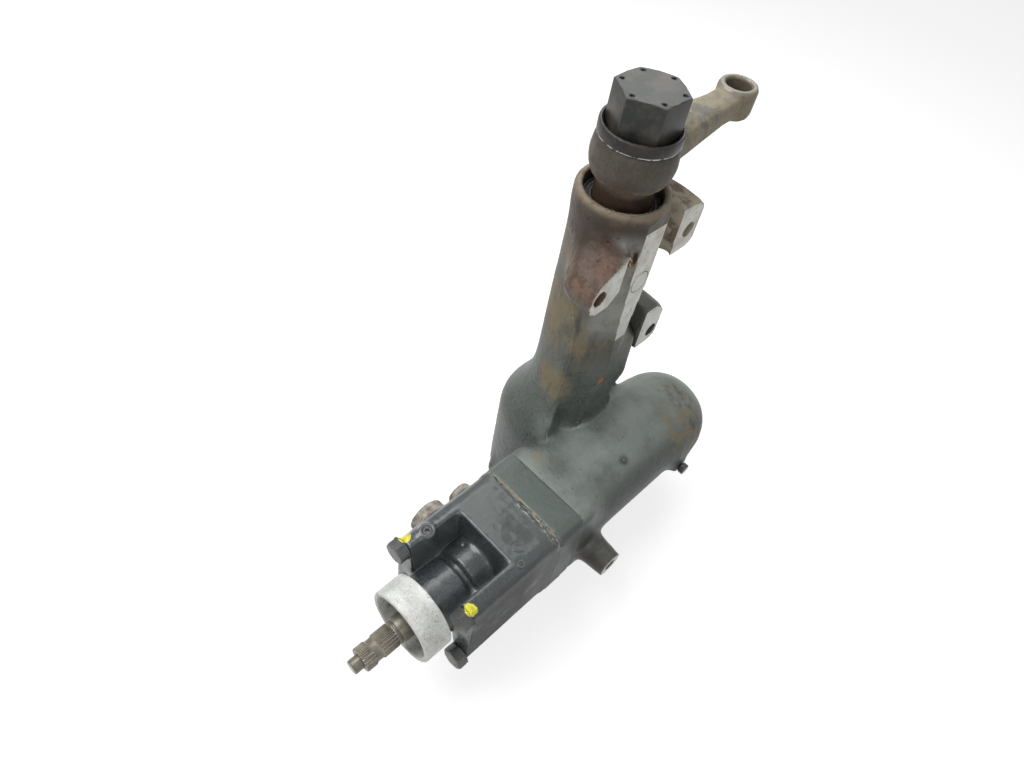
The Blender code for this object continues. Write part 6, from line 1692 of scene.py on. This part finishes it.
@dataclass
class InputEnd:
    """The outer end of the input shaft: two finely serrated bands, the clamp's groove and the pilot."""

    tip: float = -394.6
    teeth: int = 42
    crest: float = 14.0
    depth: float = 1.0

    def build(self, steel: Material) -> Piece:
        """Turns a skin over the solid's coarser end. The teeth are a triangle wave added to the radius."""
        tip = self.tip
        rows = [
            (0.0, tip), (7.1, tip), (8.1, tip + 1.0), (8.15, tip + 10.6), (12.4, tip + 10.9), (self.crest, tip + 12.2),
            (self.crest, tip + 23.0), (12.7, tip + 24.3), (12.5, tip + 28.0), (12.7, tip + 31.8),
            (self.crest, tip + 33.2), (self.crest, tip + 51.2), (12.6, tip + 52.4), (12.6, tip + 53.0),
            (14.0, tip + 53.3), (14.0, tip + 56.0), (12.6, tip + 56.3), (12.6, tip + 56.7), (14.5, tip + 57.2),
            (15.1, tip + 60.0), (15.1, tip + 92.0), (0.0, tip + 92.0),
        ]
        steps = self.teeth * 8
        phase = np.arange(steps) % 8
        tooth = np.array([0, 0, 0.15, 0.75, 1, 1, 0.75, 0.15])[phase]
        share = np.array([0, 0, 0, 0, 0.2, 1, 1, 0.1, 0, 0.1, 1, 1, 0.1] + [0] * 9)[:, None]
        ripple = -share * tooth[None, :] * self.depth
        piece = turned("input_end", rows, Axis.Y, WORM, steps, ripple, closed=False)
        dress(piece, Body.INPUT, Slot.BRIGHT, steel)
        return piece


@dataclass
class SectorNeck:
    """The stretch of sector shaft between the dust seal and the hub."""

    low: float = 353.2
    high: float = 379.6
    radius: float = 29.1

    def build(self, steel: Material) -> Piece:
        """Turns a smooth skin over the solid's neck, with two faint running marks."""
        rows = [(0.0, self.low), (self.radius, self.low)]
        rows += [(self.radius - 0.12 * (i % 2), self.low + 2 + i * 1.4) for i in range(1, 9)]
        rows += [(self.radius, self.high - 2.4), (self.radius - 0.9, self.high), (0.0, self.high)]
        piece = turned("sector_neck", rows, Axis.Z, SECTOR, 96, closed=False)
        dress(piece, Body.SECTOR, Slot.BRIGHT, steel)
        return piece


@dataclass
class DustSeal:
    """The black seal in the tube's mouth."""

    low: float = 346.3
    outer: float = 39.2
    inner: float = 29.5

    def build(self, rubber: Material) -> Piece:
        """Turns the seal with its raised lip and stands it for its CAD node."""
        low = self.low
        profile = [
            (self.inner + 0.6, low), (self.outer, low), (self.outer, low + 5.2), (self.outer - 0.7, low + 6.0),
            (self.outer - 2.6, low + 6.0), (self.outer - 3.4, low + 4.6), (self.inner + 4.0, low + 3.8),
            (self.inner + 1.7, low + 5.8), (self.inner + 0.5, low + 6.0), (self.inner, low + 5.0),
            (self.inner + 0.4, low + 2.0),
        ]
        piece = turned("dust_seal_piece", profile, Axis.Z, SECTOR, 96)
        dress(piece, Body.CASE, Slot.RUBBER, rubber)
        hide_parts("dust_seal")
        return piece


@dataclass
class PaintDab:
    """A dab of thick paint that lies over a bolt's head and the casting beside it."""

    name: str
    centre: Place
    toward: Place
    wide: float
    long: float
    seed: int
    thick: float = 0.45

    def build(self, under: list[Piece], colour: Material) -> Piece:
        """Draws the dab as rings round its middle and drops it onto the pieces under it.

        The outline is the two half widths times 1 plus a sum of sines; the thickness falls to nothing
        at the outline as the square root of 1 minus the share of the way out, squared.

        Args:
            under: The pieces it lies on.
            colour: The yellow paint.

        Returns:
            The piece.
        """
        chance = np.random.default_rng(self.seed)
        rings, steps = 9, 48
        angle = np.linspace(0, 2 * math.pi, steps, endpoint=False)
        edge = np.ones(steps)
        for wave in (2, 3, 5, 8):
            edge += chance.uniform(0.02, 0.3 / wave) * np.sin(angle * wave + chance.uniform(0, 6))
        share = np.linspace(0.001, 1, rings)
        down = np.array(self.toward) / np.linalg.norm(self.toward)
        first = np.cross(down, (0.0, 1.0, 0.0))
        first /= np.linalg.norm(first)
        second = np.cross(down, first)
        u = share[:, None] * (edge * np.cos(angle) * self.wide)[None, :]
        v = share[:, None] * (edge * np.sin(angle) * self.long)[None, :]
        flat = np.array(self.centre) + u[..., None] * first + v[..., None] * second
        lifted = flat - down * 12.0
        sheet = mesh_object(self.name, LAYOUT.place(lifted.reshape(-1, 3)), grid_faces(rings, steps))
        bed = bpy.data.meshes.new("bed")
        shape = bmesh.new()
        for piece in under:
            shape.from_mesh(piece.data)
        shape.to_mesh(bed)
        shape.free()
        target = bpy.data.objects.new("bed", bed)
        bpy.context.scene.collection.objects.link(target)
        # The rings are dropped as they are, so their order is kept by a mesh without merging.
        plain = bpy.data.meshes.new("drop")
        plain.from_pydata(LAYOUT.place(lifted.reshape(-1, 3)).tolist(), [], grid_faces(rings, steps).tolist())
        sheet.data = plain
        middle = np.array(self.centre)
        turn = Matrix((first, second, -down)).transposed().to_4x4()
        turn.translation = Vector(LAYOUT.at(*middle))
        sheet.matrix_world = turn
        plain.transform(turn.inverted())
        wrap = sheet.modifiers.new("drop", "SHRINKWRAP")
        wrap.target = target
        wrap.wrap_method = "PROJECT"
        wrap.use_project_z = True
        wrap.use_negative_direction = True
        wrap.use_positive_direction = False
        wrap.project_limit = 0.03
        bpy.context.view_layer.update()
        settle(sheet)
        found = np.zeros(rings * steps * 3)
        sheet.data.vertices.foreach_get("co", found)
        local = found.reshape(-1, 3)
        base = (np.array(turn)[:3, :3] @ local.T).T + np.array(turn.translation)
        bpy.data.objects.remove(sheet)
        bpy.data.objects.remove(target)
        base = LAYOUT.local(base).reshape(rings, steps, 3)
        depth = (base - np.array(self.centre)) @ down
        missed = depth < -6.0
        base = np.where(missed[..., None], base + down * (0 - depth)[..., None], base)
        uneven = 1 + 0.3 * np.sin(u * 1.9) * np.cos(v * 2.3)
        rise = self.thick * np.sqrt(np.clip(1 - share**2, 0, 1))[:, None] * uneven
        top = base - down * (rise + 0.05)[..., None]
        low = base + down * 0.35
        body = np.concatenate([np.repeat(top[:1].mean(axis=1)[:, None], steps, 1), top, low[::-1]])
        body = np.concatenate([body, np.repeat(low[:1].mean(axis=1)[:, None], steps, 1)])
        piece = mesh_object(self.name, LAYOUT.place(body.reshape(-1, 3)), grid_faces(2 * rings + 2, steps), 60)
        dress(piece, Body.CASE, Slot.BLACK, colour)
        return piece


@dataclass
class Nipple:
    """The grease nipple on the tube."""

    height: float = 317.0
    angle: float = -32.0
    seat: float = 46.5

    def build(self, brass: Material) -> Piece:
        """Turns the nipple along its own slanted line and stands it for its CAD node."""
        seat = self.seat
        rows = [
            (0.0, seat - 6.8), (2.9, seat - 6.8), (2.9, seat), (4.5, seat), (4.6, seat + 0.4), (4.6, seat + 4.4),
            (4.2, seat + 4.9), (2.4, seat + 5.0), (1.9, seat + 6.4), (2.1, seat + 7.4), (2.75, seat + 8.6),
            (2.6, seat + 9.6), (1.9, seat + 10.6), (0.9, seat + 11.0), (0.0, seat + 10.6),
        ]
        steps = 48
        around = np.linspace(0, 2 * math.pi, steps, endpoint=False)
        flats = np.cos(math.pi / 6) / np.cos((around % (math.pi / 3)) - math.pi / 6) - 1
        share = np.array([0, 0, 0, 1, 1, 1, 1, 0, 0, 0, 0, 0, 0, 0, 0])[:, None]
        piece = turned("grease_nipple_piece", rows, Axis.X, (0, 0, self.height), steps, share * flats * 4.5, False)
        around_tube = Matrix.Rotation(math.radians(self.angle), 4, "Z")
        centre = Matrix.Translation(Vector(LAYOUT.at(0, 0, 0)))
        piece.data.transform(centre @ around_tube @ centre.inverted())
        dress(piece, Body.CASE, Slot.BRASS, brass)
        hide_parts("grease_nipple")
        return piece


@dataclass
class Fasteners:
    """Nuts, bolts, screws and plugs: the CAD solids with their edges rounded."""

    on_case: tuple[str, ...] = (
        "flange_bolt_1", "flange_bolt_2", "flange_bolt_3", "flange_bolt_4", "cover_bolt_1", "cover_bolt_2",
        "cover_bolt_3", "cover_bolt_4", "cover_bolt_5", "cover_bolt_6", "limiter_screw", "adjuster_lock_nut",
        "relief_plug", "screw_plug", "ball_plug",
    )

    def build(self, bolt: Material, nut: Material, bright: Material) -> dict:
        """Makes them all.

        Args:
            bolt: The bolts' oxide.
            nut: The big nut's oxide.
            bright: The steel of the plug and of the nut at the cover.

        Returns:
            The pieces by node.
        """
        made = {}
        finishes = {Slot.OXIDE: bolt, Slot.BRIGHT: bright}
        for node in self.on_case:
            made[node] = rounded_copy(node, 0.3)
            dress(made[node], Body.CASE, NODE_SLOTS[node], finishes[NODE_SLOTS[node]])
        made["pitman_nut"] = rounded_copy("pitman_nut", 0.45)
        dress(made["pitman_nut"], Body.SECTOR, NODE_SLOTS["pitman_nut"], nut)
        for node, piece in made.items():
            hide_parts(node)
        return made


@dataclass
class InnerPieces:
    """The CAD nodes that stay as they are, given finishes by their slots."""

    def build(self, finishes: dict[Slot, Material], replaced: set[str]) -> None:
        """Puts the finish of its slot on each node that no piece replaces.

        Args:
            finishes: The finish for each slot.
            replaced: The nodes that pieces stand for.
        """
        for name, node in frame["nodes"].items():
            if name in replaced:
                continue
            finish = finishes[NODE_SLOTS[name]]
            if not node.data.materials:
                node.data.materials.append(finish)
            for place in node.material_slots:
                place.material = finish
        LOG.info("inner pieces: %d", len(frame["nodes"]) - len(replaced))


def seen_rays(graph: Graph) -> Socket:
    """1 for rays from the camera, a mirror or glass, and 0 for the light that falls on the object."""
    rays = graph.add("ShaderNodeLightPath").outputs
    mirrored = graph.math("MAXIMUM", rays["Is Glossy Ray"], rays["Is Transmission Ray"])
    return graph.math("MAXIMUM", rays["Is Camera Ray"], mirrored)


@dataclass
class Studio:
    """A pale floor, soft lamps and the camera at the photograph's angle."""

    place: Place = (0.254838, -0.417233, 0.880257)
    right: Place = (0.69278865, 0.70992693, 0.1266793)
    up: Place = (-0.61041966, 0.48376963, 0.62718003)
    back: Place = (0.38396839, -0.51183073, 0.76850346)
    lens: float = 25.683
    floor_size: float = 6.0

    def floor(self) -> None:
        """The floor: pale by its own colour, and lifted to white where it is seen, so that the shadow stays."""
        half = self.floor_size / 2
        u, v = np.meshgrid(np.linspace(-half, half, 9), np.linspace(-half, half, 9), indexing="ij")
        points = np.stack([u, v, np.full_like(u, -0.0006)], -1).reshape(-1, 3)
        piece = mesh_object("floor", points, grid_faces(9, 9, False))
        material = bpy.data.materials.new("floor_white")
        material.use_nodes = True
        graph = Graph(material.node_tree)
        material.node_tree.nodes.remove(material.node_tree.nodes["Principled BSDF"])
        output = material.node_tree.nodes["Material Output"]
        pale = graph.add("ShaderNodeBsdfDiffuse", {"Color": (0.7, 0.7, 0.7, 1.0)}).outputs[0]
        glow = graph.add("ShaderNodeEmission", {"Color": (1.0, 1.0, 1.0, 1.0), "Strength": 0.7}).outputs[0]
        dim = graph.add("ShaderNodeBsdfDiffuse", {"Color": (0.45, 0.45, 0.45, 1.0)}).outputs[0]
        lifted = graph.add("ShaderNodeAddShader", {0: glow, 1: dim}).outputs[0]
        mixed = graph.add("ShaderNodeMixShader", {0: seen_rays(graph), 1: pale, 2: lifted}).outputs[0]
        graph.feed(output.inputs["Surface"], mixed)
        piece.data.materials.append(material)

    def world(self) -> None:
        """An even pale sky, white where it is seen or mirrored."""
        world = bpy.data.worlds.new("studio")
        bpy.context.scene.world = world
        world.use_nodes = True
        graph = Graph(world.node_tree)
        ground = world.node_tree.nodes["Background"]
        ground.inputs["Color"].default_value = (1.0, 1.0, 1.0, 1.0)
        graph.feed(ground.inputs["Strength"], graph.blend(seen_rays(graph), 0.33, 1.0))

    def lamp(self, name: str, place: Place, size: float, power: float, target: Place) -> None:
        """A square soft lamp.

        Args:
            name: Its name.
            place: Where it hangs, in metres.
            size: Its side in metres.
            power: Its power in watts.
            target: What it points at.
        """
        light = bpy.data.lights.new(name, "AREA")
        light.shape = "SQUARE"
        light.size = size
        light.energy = power
        lamp = bpy.data.objects.new(name, light)
        way = Vector(target) - Vector(place)
        lamp.matrix_world = Matrix.Translation(Vector(place)) @ way.to_track_quat("-Z", "Y").to_matrix().to_4x4()
        bpy.context.scene.collection.objects.link(lamp)

    def camera(self) -> None:
        """The camera, with the lens worked out from the photograph."""
        data = bpy.data.cameras.new("camera")
        data.lens = self.lens
        data.sensor_width = 36.0
        data.clip_start = 0.01
        camera = bpy.data.objects.new("camera", data)
        turn = Matrix((self.right, self.up, self.back)).transposed().to_4x4()
        turn.translation = Vector(self.place)
        camera.matrix_world = turn
        bpy.context.scene.collection.objects.link(camera)
        bpy.context.scene.camera = camera

    def build(self) -> None:
        """Sets the stage up."""
        self.floor()
        self.world()
        self.lamp("key", (-0.7, -0.55, 1.55), 1.1, 22.5, (0.0, 0.0, 0.2))
        self.lamp("sheen", (-0.55, 0.75, 1.35), 1.0, 10.0, (0.0, 0.0, 0.15))
        self.lamp("fill", (1.1, -0.7, 1.1), 1.0, 6.5, (0.0, 0.1, 0.4))
        self.camera()
        bpy.context.scene.view_settings.view_transform = "Standard"
        LOG.info("stage set")


def main() -> None:
    """Builds the pieces in order, dresses them, and sets the stage."""
    logging.basicConfig(level=logging.INFO, format="%(name)s: %(message)s")
    coat, black, bolt, steel = CASTING.build(), VALVE.build(), BOLT.build(), SHAFT.build()
    rubber, brass, forged, block = RUBBER.build(), BRASS.build(), ARM.build(), BLOCK.build()
    casting = MainCasting().build(coat, MILLED.build())
    PartingLine().build(casting, coat)
    BearingBlock().build(block)
    valve = ValveHousing().build(black, PORT.build())
    RingMark().build(black)
    Arm().build(forged)
    Cover().build(block)
    LockRing().build(COLLAR.build())
    Cup().build(CUP.build())
    InputEnd().build(steel)
    SectorNeck().build(NECK.build())
    DustSeal().build(rubber)
    Nipple().build(brass)
    made = Fasteners().build(bolt, NUT.build(), steel)
    yellow = YELLOW.build()
    PaintDab("yellow_mark_1", (33.0, -284.5, 62.5), (0.15, 0.2, -1.0), 5.2, 6.4, 4).build(
        [valve, made["flange_bolt_1"]], yellow
    )
    PaintDab("yellow_mark_2", (135.0, -284.5, 62.5), (-0.1, 0.2, -1.0), 6.0, 7.2, 9).build(
        [valve, made["flange_bolt_2"]], yellow
    )
    replaced = {"main_housing", "bearing_block", "valve_housing", "pitman_arm", "sector_cover", "nut_lock_ring"}
    replaced |= {"input_cup", "dust_seal", "grease_nipple"} | set(made)
    finishes = {
        Slot.GREEN: block,
        Slot.BLACK: black,
        Slot.FORGED: plain("inner_forged", (112, 106, 98), (98, 92, 84), 0.45, 0.5).build(),
        Slot.OXIDE: bolt,
        Slot.BRIGHT: plain("inner_steel", (158, 156, 150), (140, 138, 132), 0.32, 0.85).build(),
        Slot.ALUMINIUM: plain("inner_aluminium", (196, 198, 194), (182, 184, 180), 0.4, 0.8).build(),
        Slot.BRASS: brass,
        Slot.RUBBER: rubber,
    }
    InnerPieces().build(finishes, replaced)
    Studio().build()


if __name__ == "__main__":
    main()
